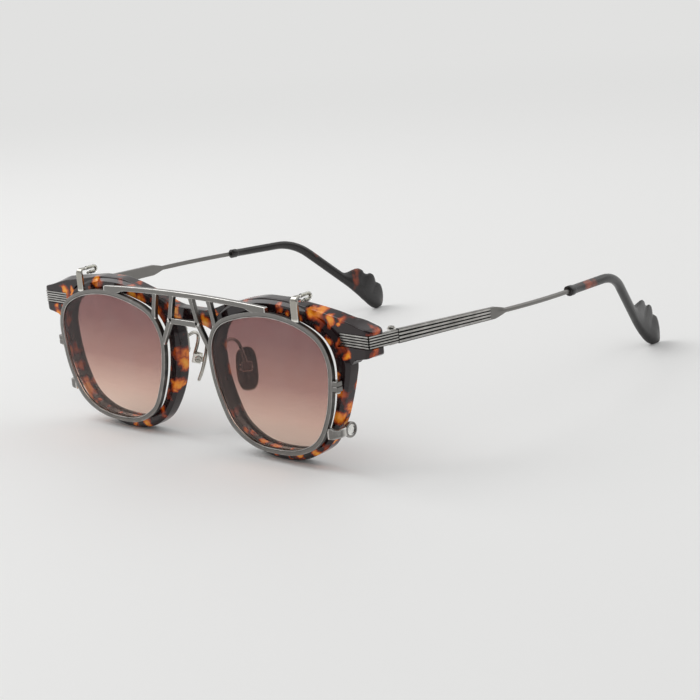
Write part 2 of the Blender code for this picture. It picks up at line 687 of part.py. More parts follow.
def temple_body():
    """Ribbed arm, plain border, taper and wire core as one run of sections."""
    plates = (
        (HINGE_GAP / 2, ARM_HEIGHT, RIDGE_DEPTH),
        (ARM_LENGTH, ARM_END_HEIGHT, RIDGE_DEPTH),
        (ARM_LENGTH + EDGE, ARM_END_HEIGHT, 0.0),
        (ARM_LENGTH + ARM_BORDER, ARM_END_HEIGHT, 0.0),
    )
    loops = []
    for back, height, depth in plates:
        section = ridged_section(height, PLATE_THICKNESS, ARM_RIDGES, depth)
        x, y, z = temple_line(back)
        loops.append(placed_section(section, x, y, z, (1.0, 0.0)))
    arm = ARM_LENGTH + ARM_BORDER
    reach = ARM_TAPER + WIRE_LENGTH + WIRE_INSERTION
    first = np.array((-PLATE_THICKNESS / 2, 0.0, 0.0))
    taper = ridged_section(TAPER_MIDDLE_SHARE * ARM_END_HEIGHT, PLATE_THICKNESS, ARM_RIDGES, 0.0)
    x, y, z = temple_line(arm + ARM_TAPER / 2)
    loops.append(placed_section(taper, x, y, z, (1.0, 0.0)))
    turned = taper + (PLATE_THICKNESS / 2, 0.0)
    aim = np.arctan2(turned[:, 1], turned[:, 0])
    for back in np.concatenate([[ARM_TAPER], np.linspace(ARM_TAPER + WIRE_LENGTH / 3, reach, 5)]):
        centre = temple_line(arm + back) + first
        spoke = np.stack([np.cos(aim), 0 * aim, np.sin(aim)], axis=1) * WIRE_RADIUS
        loops.append(centre + spoke)
    return skin(loops)


def temple(name, parent, surface, side):
    """One metal temple with its middle hinge knuckle; its origin lies on the hinge axis."""
    made = solid(name, temple_body(), surface, parent, HINGE, side)
    half = MIDDLE_KNUCKLE_HEIGHT / 2
    apply_tool(made, tool("middle_knuckle", knuckle(-half, half, 1), parent, side), "UNION")
    apply_tool(made, hinge_bore(parent, side), "DIFFERENCE")
    return made


def ear_path(run):
    """The tip's centre line: on from the temple, round the ear and down for the run given."""
    start = ARM_LENGTH + ARM_BORDER + ARM_TAPER + WIRE_LENGTH
    core = np.array((-PLATE_THICKNESS / 2, 0.0, 0.0))
    corner = temple_line(start + SLEEVE_RUN) + core
    before = corner - (temple_line(start) + core)
    before /= np.linalg.norm(before)
    down = np.array((-EAR_TUCK_SHARE, 1.0, -math.tan(EAR_DROP_ANGLE)))
    down /= np.linalg.norm(down)
    straight = SLEEVE_RUN - EAR_BEND_CUT
    line = [temple_line(start + share * straight) + core for share in STRAIGHT_SHARES]
    first, last = corner - before * EAR_BEND_CUT, corner + down * EAR_BEND_CUT
    for share in np.linspace(0.0, 1.0, BEND_STEPS):
        line.append((1 - share) ** 2 * first + 2 * share * (1 - share) * corner + share**2 * last)
    return line, last, down, last + down * run


def tip_sections(run):
    """Sections of the tip from the collar to the end of the paddle, and the bore for the wire."""
    line, last, down, foot = ear_path(run)
    rear = np.cross(down, (1.0, 0.0, 0.0))
    rear /= np.linalg.norm(rear)
    rear *= math.copysign(1.0, rear[2])
    face = np.cross(rear, down)
    face *= math.copysign(1.0, face[0])
    turn = np.arange(TIP_SIDES) * 2 * math.pi / TIP_SIDES
    sections = []

    def add(centre, rear_way, front_half, rear_half, thick, plate):
        c, s = np.cos(turn), np.sin(turn)
        across = np.where(c > 0, c * rear_half, c * front_half)
        depth = s * np.where(c > 0.6, plate, np.where(c > 0.3, (plate + thick) / 2, thick))
        sections.append(centre + across[:, None] * rear_way + depth[:, None] * face)

    up = np.array((0.0, 0.0, 1.0))
    ring = SLEEVE_RADIUS + SLEEVE_COLLAR
    slope = line[1] - line[0]
    slope /= np.linalg.norm(slope)
    radii = (COLLAR_MOUTH_SHARE * ring, ring, ring, SLEEVE_RADIUS)
    for share, radius in zip(COLLAR_SHARES, radii):
        add(line[0] + slope * share * COLLAR_LENGTH, up, radius, radius, radius, radius)
    for i, centre in enumerate(line[1:]):
        blend = i / (len(line) - 2)
        way = up * (1 - blend) + rear * blend
        way /= np.linalg.norm(way)
        half = SLEEVE_RADIUS + blend * (STEM_HALF_WIDTH - SLEEVE_RADIUS)
        thick = SLEEVE_RADIUS + blend * (STEM_HALF_THICKNESS - SLEEVE_RADIUS)
        add(centre, way, half, half, thick, thick)
    for along, rear_share, front_share in PADDLE_SHARES:
        bend = max(0.0, (along - FLARE_START_SHARE) / (1 - FLARE_START_SHARE)) ** 2
        centre = foot + down * along * PADDLE_LENGTH + bend * (PADDLE_FLARE * face + PADDLE_LIFT * rear)
        flat = min(1.0, max(0.0, (rear_share - PADDLE_SHARES[0][1]) / FLAT_GAIN_SHARE))
        plate = STEM_HALF_THICKNESS + flat * (PADDLE_HALF_THICKNESS - STEM_HALF_THICKNESS)
        thin = 1.0 if along < PADDLE_END_SHARE else PADDLE_THINNED_SHARE
        add(
            centre,
            rear,
            front_share * PADDLE_WIDTH,
            rear_share * PADDLE_WIDTH,
            thin * STEM_HALF_THICKNESS,
            thin * plate,
        )
    bore = WIRE_RADIUS + FIT
    hole = []
    for share in (1.0, 0.5, 0.0):
        back = share * (WIRE_INSERTION + FIT)
        start = ARM_LENGTH + ARM_BORDER + ARM_TAPER + WIRE_LENGTH
        centre = temple_line(start + back) + np.array((-PLATE_THICKNESS / 2, 0.0, 0.0))
        hole.append(centre + bore * (np.cos(turn)[:, None] * up + np.sin(turn)[:, None] * face))
    return hole + sections


def temple_tip(name, parent, surface, side):
    """One acetate tip: long enough for its paddle to stand on the table with the rims."""
    lowest = min(section[:, 2].min() for section in tip_sections(0.0))
    down = ear_path(0.0)[2]
    run = lowest / -down[2]
    return solid(name, skin(tip_sections(run)), surface, parent, HINGE, side)


def pad_axes():
    """A nose pad's own directions: towards the nose, back along the pad, and up."""
    level = np.array((-math.cos(PAD_TURN), math.sin(PAD_TURN), 0.0))
    along = np.array((math.sin(PAD_TURN), math.cos(PAD_TURN), 0.0))
    above = np.array((0.0, 0.0, 1.0))
    nose = level * math.cos(PAD_LEAN) - above * math.sin(PAD_LEAN)
    up = above * math.cos(PAD_LEAN) + level * math.sin(PAD_LEAN)
    return nose, along, up


def pad_centre():
    """Where the screw of a nose pad runs."""
    return np.array((PAD_BOX_OUT, PAD_BOX_BACK, LENS_TOP - PAD_BOX_DROP))


def pad_shape(steps_along, outline, origin):
    """Loops of (nose, up) points stacked along a pad's own length direction."""
    nose, along, up = pad_axes()
    loops = []
    for step, points in zip(steps_along, outline):
        loops.append(origin + points[:, :1] * nose + points[:, 1:] * up + step * along)
    return skin(loops)


def pad_face():
    """The pad itself: a leaf with squared ends, dished towards the nose, with eased edges."""
    nose, along, up = pad_axes()
    turn = np.arange(PAD_SIDES) * 2 * math.pi / PAD_SIDES
    power = PAD_SQUARENESS
    full = (np.abs(np.cos(turn)) ** power + np.abs(np.sin(turn)) ** power) ** (1 / power)
    middle = pad_centre() + nose * PAD_STANDOFF - up * PAD_DROP
    loops = []
    for depth, share in PAD_EDGE_SHARES:
        y = np.cos(turn) / full * PAD_WIDTH / 2 * share
        z = np.sin(turn) / full * PAD_LENGTH / 2 * share
        bow = PAD_DISH * (z / (PAD_LENGTH / 2)) ** 2
        out = depth * PAD_THICKNESS - bow
        loops.append(middle + out[:, None] * nose + y[:, None] * along + z[:, None] * up)
    return skin(loops)


def nose_pad(name, parent, surface, side):
    """One nose pad with the lug that the screw goes through; its origin lies on the screw."""
    centre = pad_centre()
    made = solid(name, pad_face(), surface, parent, centre, side)
    half = (BOX_WIDTH - 2 * BOX_CHEEK) / 2 - FIT
    turn = np.radians(np.linspace(90, 270, 7))
    lug = [(LUG_RADIUS * math.cos(t), LUG_RADIUS * math.sin(t)) for t in turn]
    lug += [(PAD_STANDOFF + PAD_THICKNESS / 2, -LUG_RADIUS), (PAD_STANDOFF + PAD_THICKNESS / 2, LUG_RADIUS)]
    outline = np.array(lug)
    body = pad_shape((-half, half), (outline, outline), centre)
    apply_tool(made, tool("pad_lug", body, parent, side), "UNION")
    bore = disc(PAD_SCREW_RADIUS + FIT, 10)
    reach = half + OVERRUN
    hole = pad_shape((-reach, reach), (bore, bore), centre)
    apply_tool(made, tool("lug_bore", hole, parent, side), "DIFFERENCE")
    return made


def pad_screw(name, parent, surface, side):
    """The screw through a pad box, its head on the cheek that faces forward."""
    nose, along, up = pad_axes()
    top = BOX_WIDTH / 2 + FIT / 2
    points, faces = headed_pin(
        PAD_SCREW_RADIUS,
        (-top, top),
        PAD_HEAD_RADIUS,
        (top, top + PAD_HEAD_HEIGHT),
    )
    placed = pad_centre() + points[:, :1] * nose + points[:, 1:2] * up - points[:, 2:] * along
    return solid(name, (placed, faces), surface, parent, pad_centre(), side)


def round_wire(points, radius, sides=8):
    """A round wire through the points, its sections square to the path."""
    path = np.asarray(points, float)
    loops = []
    steady = np.array((0.3, 0.1, 1.0))
    for i, centre in enumerate(path):
        way = path[min(i + 1, len(path) - 1)] - path[max(i - 1, 0)]
        way /= np.linalg.norm(way)
        steady = steady - way * steady.dot(way)
        steady /= np.linalg.norm(steady)
        other = np.cross(way, steady)
        turn = np.arange(sides) * 2 * math.pi / sides
        loops.append(centre + radius * (np.cos(turn)[:, None] * steady + np.sin(turn)[:, None] * other))
    return skin(loops)


def eased_path(points, per_span=3):
    """A smooth open path through the points."""
    points = np.asarray(points, float)
    ends = np.vstack([2 * points[0] - points[1], points, 2 * points[-1] - points[-2]])
    spans = []
    for i in range(1, len(ends) - 2):
        a, b, c, d = ends[i - 1 : i + 3]
        for u in np.linspace(0.0, 1.0, per_span, endpoint=False):
            spans.append(b + 0.5 * u * (c - a + u * (2 * a - 5 * b + 4 * c - d + u * (3 * (b - c) + d - a))))
    spans.append(points[-1])
    return np.array(spans)


def arm_plate_line(share):
    """A point on the middle of a pad arm's plate: on the back of the rim, along the nose side."""
    z = LENS_TOP - ARM_PLATE_TOP - share * ARM_PLATE_LENGTH
    return side_of(lens_outline(0.0, 0.0, FINE_POINTS), z, -1.0) - RIM_WIDTH / 2, z


def pad_arm(name, parent, surface, side):
    """One pad arm: a plate on the rim, a bent wire and the box that holds the pad."""
    seat = RIM_BACK + BRAZE
    loops = []
    half = ARM_PLATE_WIDTH / 2
    low, high = seat, seat + ARM_PLATE_THICKNESS
    for share, width in ARM_PLATE_SHARES:
        x, z = arm_plate_line(share)
        left, right = x - half * width, x + half * width
        loops.append(np.array([(left, low, z), (right, low, z), (right, high, z), (left, high, z)]))
    made = solid(name, skin(loops), surface, parent, side=side)
    centre = pad_centre()
    nose, along, up = pad_axes()
    x, z = arm_plate_line(WIRE_ROOT_SHARE)
    root = np.array((x, seat + ARM_PLATE_THICKNESS / 2, z))
    clear = LUG_RADIUS + FIT
    heel = centre - nose * (clear + BOX_CHEEK / 2) + up * BOX_HEIGHT / 2
    reach = heel - root
    points = [
        root,
        root + reach * PAD_WIRE_SHARES[0] + up * PAD_WIRE_RADIUS,
        root + reach * PAD_WIRE_SHARES[1],
        root + reach * PAD_WIRE_SHARES[2],
        heel - up * BOX_HEIGHT / 4,
    ]
    apply_tool(made, tool("arm_wire", round_wire(eased_path(points), PAD_WIRE_RADIUS), parent, side), "UNION")
    front, back, half_height = -clear - BOX_CHEEK, LUG_RADIUS, BOX_HEIGHT / 2
    block = np.array([(front, -half_height), (back, -half_height), (back, half_height), (front, half_height)])
    half_width = BOX_WIDTH / 2
    steps = (-half_width, EDGE - half_width, half_width - EDGE, half_width)
    drawn = block * (1 - EDGE / half_height)
    box = pad_shape(steps, (drawn, block, block, drawn), centre)
    apply_tool(made, tool("pad_box", box, parent, side), "UNION")
    slot_half = half_width - BOX_CHEEK
    mouth = np.array([(-clear, -BOX_HEIGHT), (clear, -BOX_HEIGHT), (clear, BOX_HEIGHT), (-clear, BOX_HEIGHT)])
    slot = pad_shape((-slot_half, slot_half), (mouth, mouth), centre)
    apply_tool(made, tool("box_slot", slot, parent, side), "DIFFERENCE")
    bore = disc(PAD_SCREW_RADIUS + FIT, 10)
    hole = pad_shape((-BOX_WIDTH, BOX_WIDTH), (bore, bore), centre)
    apply_tool(made, tool("box_bore", hole, parent, side), "DIFFERENCE")
    for share in RIVET_SHARES:
        x, z = arm_plate_line(share)
        drilled = prism(disc(RIVET_RADIUS + FIT / 2, 8, (x, z)), RIM_BACK - OVERRUN, seat + OVERRUN, axis=1)
        apply_tool(made, tool("rivet_hole", drilled, parent, side), "DIFFERENCE")
    return made


def pad_rivet(name, parent, surface, side, share):
    """One rivet that fastens a pad arm's plate to the acetate."""
    x, z = arm_plate_line(share)
    seat = RIM_BACK + BRAZE + ARM_PLATE_THICKNESS + FIT / 2
    points, faces = headed_pin(
        RIVET_RADIUS,
        (RIM_BACK - RIVET_DEPTH, seat),
        RIVET_HEAD_RADIUS,
        (seat, seat + RIVET_HEAD_HEIGHT),
        slot=False,
    )
    placed = points[:, (0, 2, 1)] + (x, 0.0, z)
    return solid(name, (placed, faces), surface, parent, (x, seat, z), side)


def rivet_holes(frame, parent):
    """Drills the acetate for the rivets of both pad arms."""
    for side in (1.0, -1.0):
        for share in RIVET_SHARES:
            x, z = arm_plate_line(share)
            depth = RIM_BACK - RIVET_DEPTH - FIT
            hole = prism(disc(RIVET_RADIUS + FIT / 2, 8, (x, z)), depth, RIM_BACK + OVERRUN, axis=1)
            apply_tool(frame, tool("acetate_rivet_hole", hole, parent, side), "DIFFERENCE")


def clip_rim():
    """One clip rim: a flat wire round the lens, eased in front, with the lens groove inside."""
    groove_back = CLIP_GROOVE_FRONT + CLIP_LENS_THICKNESS + FIT
    steps = (
        (CLIP_RIM - EDGE, CLIP_FRONT),
        (CLIP_RIM, CLIP_FRONT + EDGE),
        (CLIP_RIM, CLIP_BACK - EDGE),
        (CLIP_RIM - EDGE, CLIP_BACK),
        (-CLIP_INSET, CLIP_BACK),
        (-CLIP_INSET, groove_back),
        (CLIP_GROOVE - CLIP_INSET, groove_back),
        (CLIP_GROOVE - CLIP_INSET, CLIP_GROOVE_FRONT),
        (-CLIP_INSET, CLIP_GROOVE_FRONT),
        (-CLIP_INSET, CLIP_FRONT + EDGE),
        (EDGE - CLIP_INSET, CLIP_FRONT),
    )
    return skin([lens_outline(offset, y) for offset, y in steps], around=True)


def clip_strip(start, end, width):
    """A flat strip in the clip's plane between two points given as X and Z."""
    start, end = np.asarray(start, float), np.asarray(end, float)
    way = (end - start) / np.linalg.norm(end - start)
    side = np.array((-way[1], way[0])) * width / 2
    front, back = CLIP_FRONT + CLIP_BAR_SETBACK, CLIP_BACK - CLIP_BAR_SETBACK
    loops = []
    for middle in (start, end):
        left, right = middle - side, middle + side
        corners = [(left, front), (right, front), (right, back), (left, back)]
        loops.append(np.array([(point[0], y, point[1]) for point, y in corners]))
    return skin(loops)


def clip_top_bar():
    """The long bar over both clip rims, highest in the middle, its ends standing as small steps."""
    front, back = CLIP_FRONT + CLIP_BAR_SETBACK / 2, CLIP_BACK - CLIP_BAR_SETBACK / 2
    loops = []
    for share in (*(-share for share in CLIP_BAR_SHARES[::-1]), 0.0, *CLIP_BAR_SHARES):
        x = share * CLIP_BAR_REACH
        top = CLIP_TOP + CLIP_BAR_RISE - CLIP_BAR_FALL * share**2
        bottom = top - CLIP_BAR_HEIGHT
        if abs(share) > CLIP_STEP_SHARE:
            bottom = height_on_outline(abs(x), CLIP_RIM / 2)
        loops.append(np.array([(x, front, bottom), (x, front, top), (x, back, top), (x, back, bottom)]))
    return skin(loops)


def closing_block():
    """The block at the outer side of a clip rim whose screw draws the rim shut on its lens."""
    z = LENS_Z + CLOSING_BLOCK_SHARE * LENS_HEIGHT / 2
    half = CLOSING_BLOCK_HEIGHT / 2
    inner = side_on_outline(z, CLIP_RIM / 2)
    outer = side_on_outline(z, CLIP_RIM) + CLOSING_BLOCK_REACH
    front = CLIP_FRONT + CLIP_BAR_SETBACK
    back = front + CLOSING_BLOCK_DEPTH
    outline = [(inner, front), (outer - EDGE, front), (outer, front + EDGE), (outer, back - EDGE)]
    outline += [(outer - EDGE, back), (inner, back)]
    return prism(outline, z - half, z + half), z


def rim_screw_place():
    """Where the screw of a closing block stands."""
    shape, z = closing_block()
    x = side_on_outline(z, CLIP_RIM) + CLOSING_BLOCK_REACH / 2
    return np.array((x, CLIP_FRONT + CLIP_BAR_SETBACK + CLOSING_BLOCK_DEPTH / 2, z))


def clip_front(parent, surface):
    """The clip's metal front: two rims, top bar, lower bar, four struts, two legs and two blocks."""
    made = solid("clip_front", clip_top_bar(), surface, parent)
    top = CLIP_TOP + CLIP_BAR_RISE - CLIP_BAR_HEIGHT / 2
    low = CLIP_TOP + CLIP_BAR_RISE - CLIP_BAR_HEIGHT - CLIP_LOWER_BAR_DROP - CLIP_LOWER_BAR_HEIGHT
    lower_middle = low + CLIP_LOWER_BAR_HEIGHT / 2 - STRUT_WIDTH / 2
    ends = (-INNER_STRUT_FOOT, lower_middle), (INNER_STRUT_FOOT, lower_middle)
    apply_tool(made, tool("lower_bar", clip_strip(*ends, CLIP_LOWER_BAR_HEIGHT), parent), "UNION")
    leg_foot = LENS_X - LENS_WIDTH / 2 - CLIP_RIM / 2, LENS_Z + LEG_FOOT_SHARE * LENS_HEIGHT / 2
    strips = (
        ((INNER_STRUT_TOP, top), (INNER_STRUT_FOOT, lower_middle)),
        ((INNER_STRUT_FOOT, lower_middle), leg_foot),
        ((OUTER_STRUT_TOP, top), (OUTER_STRUT_FOOT, height_on_outline(OUTER_STRUT_FOOT, CLIP_RIM / 3))),
    )
    for side in (1.0, -1.0):
        for start, end in strips:
            apply_tool(made, tool("clip_strut", clip_strip(start, end, STRUT_WIDTH), parent, side), "UNION")
        apply_tool(made, tool("closing_block", closing_block()[0], parent, side), "UNION")
        inside = [lens_outline(CLIP_RIM / 2, y) for y in (CLIP_FRONT - OVERRUN, CLIP_BACK + OVERRUN)]
        apply_tool(made, tool("clip_opening", skin(inside), parent, side), "DIFFERENCE")
        apply_tool(made, tool("clip_rim", clip_rim(), parent, side), "UNION")
        x, y, z = rim_screw_place()
        reach = CLOSING_BLOCK_REACH + CLIP_RIM + OVERRUN
        cut = [(x - reach, CLIP_FRONT - OVERRUN), (x + reach, CLIP_FRONT - OVERRUN)]
        cut += [(x + reach, CLIP_BACK + OVERRUN), (x - reach, CLIP_BACK + OVERRUN)]
        split = prism(cut, z - RIM_SPLIT / 2, z + RIM_SPLIT / 2)
        apply_tool(made, tool("rim_split", split, parent, side), "DIFFERENCE")
        tall = CLOSING_BLOCK_HEIGHT / 2 + OVERRUN
        bore = prism(disc(RIM_SCREW_RADIUS + FIT, 8, (x, y)), z - tall, z + tall)
        apply_tool(made, tool("block_bore", bore, parent, side), "DIFFERENCE")
    return made


def rim_screw(name, parent, surface, side):
    """The small screw of a closing block, its head underneath."""
    place = rim_screw_place()
    half = CLOSING_BLOCK_HEIGHT / 2
    seat = half + FIT / 2
    points, faces = headed_pin(
        RIM_SCREW_RADIUS,
        (-half, seat),
        RIM_HEAD_RADIUS,
        (seat, seat + RIM_HEAD_HEIGHT),
    )
    return solid(name, (place + points * (1.0, 1.0, -1.0), faces), surface, parent, place, side)


def hook_heights():
    """Height of the acetate under a hook, of the curled end's centre and of the arch's centre."""
    rows = [(row[0], row[1]) for row in brow_stations()]
    under = float(np.interp(HOOK_PLACE, [row[0] for row in rows], [row[1] for row in rows]))
    rim = top_of(rim_outline(0.0, 0.0, FINE_POINTS), HOOK_PLACE)
    tube = HOOK_WIRE_RADIUS + FIT + SLEEVE_WALL
    end = max(under, rim) + FIT + tube
    return end, end + 2 * HOOK_CURL_RADIUS


def hook_wire_path():
    """The hook's wire: up from the post, back over the brow and curled under on itself."""
    end, arch = hook_heights()
    post = CLIP_FRONT + CLIP_BAR_SETBACK + HOOK_THICKNESS / 2
    curl = HOOK_CURL_RADIUS
    points = [(post + back * curl, arch - drop * curl) for back, drop in HOOK_BEND_SHARES]
    points += [(post / 2 + HOOK_REST / 2, arch)]
    middle = (end + arch) / 2
    for step in (90, 60, 30, 0, -30, -60, -90):
        turn = math.radians(step)
        points.append((HOOK_REST + curl * math.cos(turn), middle + curl * math.sin(turn)))
    points.append((HOOK_REST - CURL_RETURN, end))
    return np.array([(HOOK_PLACE, y, z) for y, z in points])


def top_hook(name, parent, surface, side):
    """One hook: a flat post brazed on the clip rim that narrows to a wire over the brow."""
    front = CLIP_FRONT + CLIP_BAR_SETBACK
    back = front + HOOK_THICKNESS
    path = hook_wire_path()
    shoulder = path[0][2]
    loops = []
    half = HOOK_WIDTH / 2
    foot = [height_on_outline(HOOK_PLACE + way * half, CLIP_RIM) + BRAZE for way in (-1, 1)]
    left, right = HOOK_PLACE - half, HOOK_PLACE + half
    low = [(left, front, foot[0]), (right, front, foot[1])]
    low += [(right, back, foot[1]), (left, back, foot[0])]
    loops.append(np.array(low))
    for rise, share in HOOK_SHOULDER_SHARES:
        left, right = HOOK_PLACE - half * share, HOOK_PLACE + half * share
        z = shoulder + rise * HOOK_CURL_RADIUS
        loops.append(np.array([(left, front, z), (right, front, z), (right, back, z), (left, back, z)]))
    made = solid(name, skin(loops), surface, parent, side=side)
    apply_tool(made, tool("hook_wire", round_wire(path, HOOK_WIRE_RADIUS), parent, side), "UNION")
    return made


def hook_sleeve(name, parent, surface, side):
    """The clear sleeve on a hook's wire, which rests on the acetate."""
    path = hook_wire_path()[-2:]
    path[-1] = path[-1] + (0.0, FIT, 0.0)
    bore = HOOK_WIRE_RADIUS + FIT
    outer = round_wire(path, bore + SLEEVE_WALL)[0]
    inner = round_wire(path, bore)[0]
    count = len(path)
    outside = outer.reshape(count, -1, 3)
    inside = inner.reshape(count, -1, 3)
    loops = list(outside) + list(inside[::-1])
    return solid(name, skin(loops, around=True), surface, parent, side=side)


def claw_place():
    """Centre of a claw's cup: outside the acetate, so the clip comes away forward."""
    z = RIM_CHIN + CLAW_ABOVE_CHIN
    widest = side_of(rim_outline(0.0, 0.0, FINE_POINTS), z + CLAW_FOOT_RADIUS)
    x = widest + FIT + CLAW_FOOT_WIDTH + CLAW_CUP_WIDTH / 2
    return np.array((x, CLAW_CUP_BACK, z))


def side_claw(name, parent, surface, side):
    """One claw: a strap from the clip rim round the acetate's side to a round cup."""
    cup = claw_place()
    half = CLAW_THICKNESS / 2
    start = side_on_outline(cup[2] + CLAW_HEIGHT / 4, CLIP_RIM) + BRAZE + half
    front = (CLIP_FRONT + CLIP_BACK) / 2
    out = cup[0]
    bend = 2 * CLAW_THICKNESS
    eased = CLAW_BEND_SHARE * bend
    path = [(start, front), (out - bend, front), (out - eased, front + eased), (out, front + bend)]
    path += [(out, cup[1] - CLAW_NECK_SHARE * CLAW_CUP_RADIUS)]
    half_turn = math.sqrt(1 / 2)
    normals = [(0.0, -1.0), (0.0, -1.0), (half_turn, -half_turn), (1.0, 0.0), (1.0, 0.0)]
    heights = [CLAW_ROOT_HEIGHT, CLAW_ROOT_HEIGHT, CLAW_HEIGHT, CLAW_HEIGHT, CLAW_HEIGHT]
    loops = []
    for (x, y), (nx, ny), height in zip(path, normals, heights):
        tall = height / 2
        corners = [(-half, -tall), (half, -tall), (half, tall), (-half, tall)]
        loops.append(np.array([(x + d * nx, y + d * ny, cup[2] + h) for d, h in corners]))
    made = solid(name, skin(loops), surface, parent, side=side)
    wide = CLAW_CUP_WIDTH / 2
    ring = prism(disc(CLAW_CUP_RADIUS, 16, cup[1:]), out - wide, out + wide, axis=0)
    apply_tool(made, tool("claw_cup", ring, parent, side), "UNION")
    bore = prism(disc(CLAW_CUP_BORE, 12, cup[1:]), out - CLAW_CUP_WIDTH, out + CLAW_CUP_WIDTH, axis=0)
    apply_tool(made, tool("cup_bore", bore, parent, side), "DIFFERENCE")
    return made


def claw_pad(name, parent, surface, side):
    """The soft plug in a claw's cup, its foot against the acetate."""
    cup = claw_place()
    stem = CLAW_CUP_BORE - FIT
    inner = -CLAW_CUP_WIDTH / 2 - FIT / 2
    steps = (
        (CLAW_FOOT_RADIUS - EDGE, inner - CLAW_FOOT_WIDTH + FIT / 2),
        (CLAW_FOOT_RADIUS, inner - CLAW_FOOT_WIDTH + FIT / 2 + EDGE),
        (CLAW_FOOT_RADIUS, inner),
        (stem, inner),
        (stem, CLAW_CUP_WIDTH / 2 - EDGE),
        (stem / 2, CLAW_CUP_WIDTH / 2),
    )
    loops = [np.insert(disc(radius, 12), 0, x, axis=1) + cup for radius, x in steps]
    return solid(name, skin(loops), surface, parent, side=side)


def rear_reach():
    """How far behind the corner plane the tips end."""
    run = min(section[:, 2].min() for section in tip_sections(0.0)) / -ear_path(0.0)[2][2]
    return max(section[:, 1].max() for section in tip_sections(run))


def main():
    for old in list(bpy.data.objects):
        bpy.data.objects.remove(old, do_unlink=True)

    acetate = finish("tortoiseshell_acetate", "4A2412", 0.12)
    dark_acetate = finish("dark_acetate", "3A3634", 0.2)
    gunmetal = finish("gunmetal", "77756F", 0.3, metallic=1.0)
    bright_metal = finish("bright_metal", "B9B7AE", 0.2, metallic=1.0)
    clear_lens = finish("clear_lens", "F4F6F5", 0.02, see_through=1.0)
    tinted_lens = finish("tinted_lens", "93706B", 0.05, see_through=0.7)
    soft_clear = finish("clear_silicone", "D8D8D2", 0.3, see_through=0.5)

    middle = (CLIP_FRONT + rear_reach()) / 2
    stand = empty("corner_plane", (0.0, -middle, 0.0))

    frame = front_frame(stand, acetate)
    rivet_holes(frame, stand)
    for word, side in (("left", 1.0), ("right", -1.0)):
        clear = domed_lens(LENS_INSERTION, GROOVE_FRONT + FIT, LENS_THICKNESS, LENS_DOME)
        solid("lens_" + word, clear, clear_lens, stand, side=side)
        end_piece("end_piece_" + word, stand, gunmetal, side)
        hinge_screw("hinge_screw_" + word, stand, bright_metal, side)
        temple("temple_" + word, stand, gunmetal, side)
        temple_tip("temple_tip_" + word, stand, dark_acetate, side)
        pad_arm("pad_arm_" + word, stand, bright_metal, side)
        pad_screw("pad_screw_" + word, stand, bright_metal, side)
        nose_pad("nose_pad_" + word, stand, bright_metal, side)
        for place, share in zip(("upper", "lower"), RIVET_SHARES):
            pad_rivet(f"pad_rivet_{place}_{word}", stand, bright_metal, side, share)

    clip_front(stand, gunmetal)
    for word, side in (("left", 1.0), ("right", -1.0)):
        sun = domed_lens(
            CLIP_GROOVE - CLIP_INSET - FIT, CLIP_GROOVE_FRONT + FIT / 2, CLIP_LENS_THICKNESS, LENS_DOME / 3
        )
        solid("clip_lens_" + word, sun, tinted_lens, stand, side=side)
        rim_screw("rim_screw_" + word, stand, bright_metal, side)
        top_hook("top_hook_" + word, stand, bright_metal, side)
        hook_sleeve("hook_sleeve_" + word, stand, soft_clear, side)
        side_claw("side_claw_" + word, stand, gunmetal, side)
        claw_pad("claw_pad_" + word, stand, soft_clear, side)


main()
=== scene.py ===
"""The looks of square tortoiseshell spectacles and their metal sun clip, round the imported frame.

Lengths are metres. Points are written from the front of the metal end pieces: X from the middle of
the bridge to the wearer's left, Y back and Z up from the table. The sizes and the outlines are those
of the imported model, carried here with finer steps and with the edges that the real pieces have.
"""

import json
import math

import bmesh
import bpy
import numpy as np
from mathutils import Matrix, Vector


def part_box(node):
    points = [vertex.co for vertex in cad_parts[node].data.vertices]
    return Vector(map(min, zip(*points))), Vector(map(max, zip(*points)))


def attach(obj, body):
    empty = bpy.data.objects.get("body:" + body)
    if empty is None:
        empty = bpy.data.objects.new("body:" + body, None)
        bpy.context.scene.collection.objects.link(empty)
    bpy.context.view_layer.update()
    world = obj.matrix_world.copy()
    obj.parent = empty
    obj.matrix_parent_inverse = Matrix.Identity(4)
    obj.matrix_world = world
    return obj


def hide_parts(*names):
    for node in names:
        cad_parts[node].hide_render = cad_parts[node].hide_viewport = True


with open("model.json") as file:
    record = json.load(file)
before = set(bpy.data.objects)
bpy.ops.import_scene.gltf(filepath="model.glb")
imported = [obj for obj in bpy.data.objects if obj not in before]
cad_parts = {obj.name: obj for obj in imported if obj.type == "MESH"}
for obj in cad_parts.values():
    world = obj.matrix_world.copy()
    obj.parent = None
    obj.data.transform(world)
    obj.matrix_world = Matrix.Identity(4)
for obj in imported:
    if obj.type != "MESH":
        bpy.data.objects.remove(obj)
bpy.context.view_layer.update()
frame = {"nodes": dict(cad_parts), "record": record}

MM = 0.001
FRONT_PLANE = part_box("end_piece_left")[0].y  # row-frame Y of the front of the end pieces

# Camera, solved from the photograph
CAMERA_AZIMUTH = 43.229
CAMERA_ELEVATION = 14.934
CAMERA_ROLL = -4.866
CAMERA_DISTANCE = 0.52892
CAMERA_ACROSS = 0.04452
CAMERA_UP = 0.02824
CAMERA_LENS = 87.77
SENSOR = 36.0

FIT = 0.0003  # clearance round a seated piece
BRAZE = 0.0001  # solder film under a brazed foot
EDGE = 0.0002  # broken edge on metal
OVERRUN = 0.002  # how far a cutter runs past what it cuts

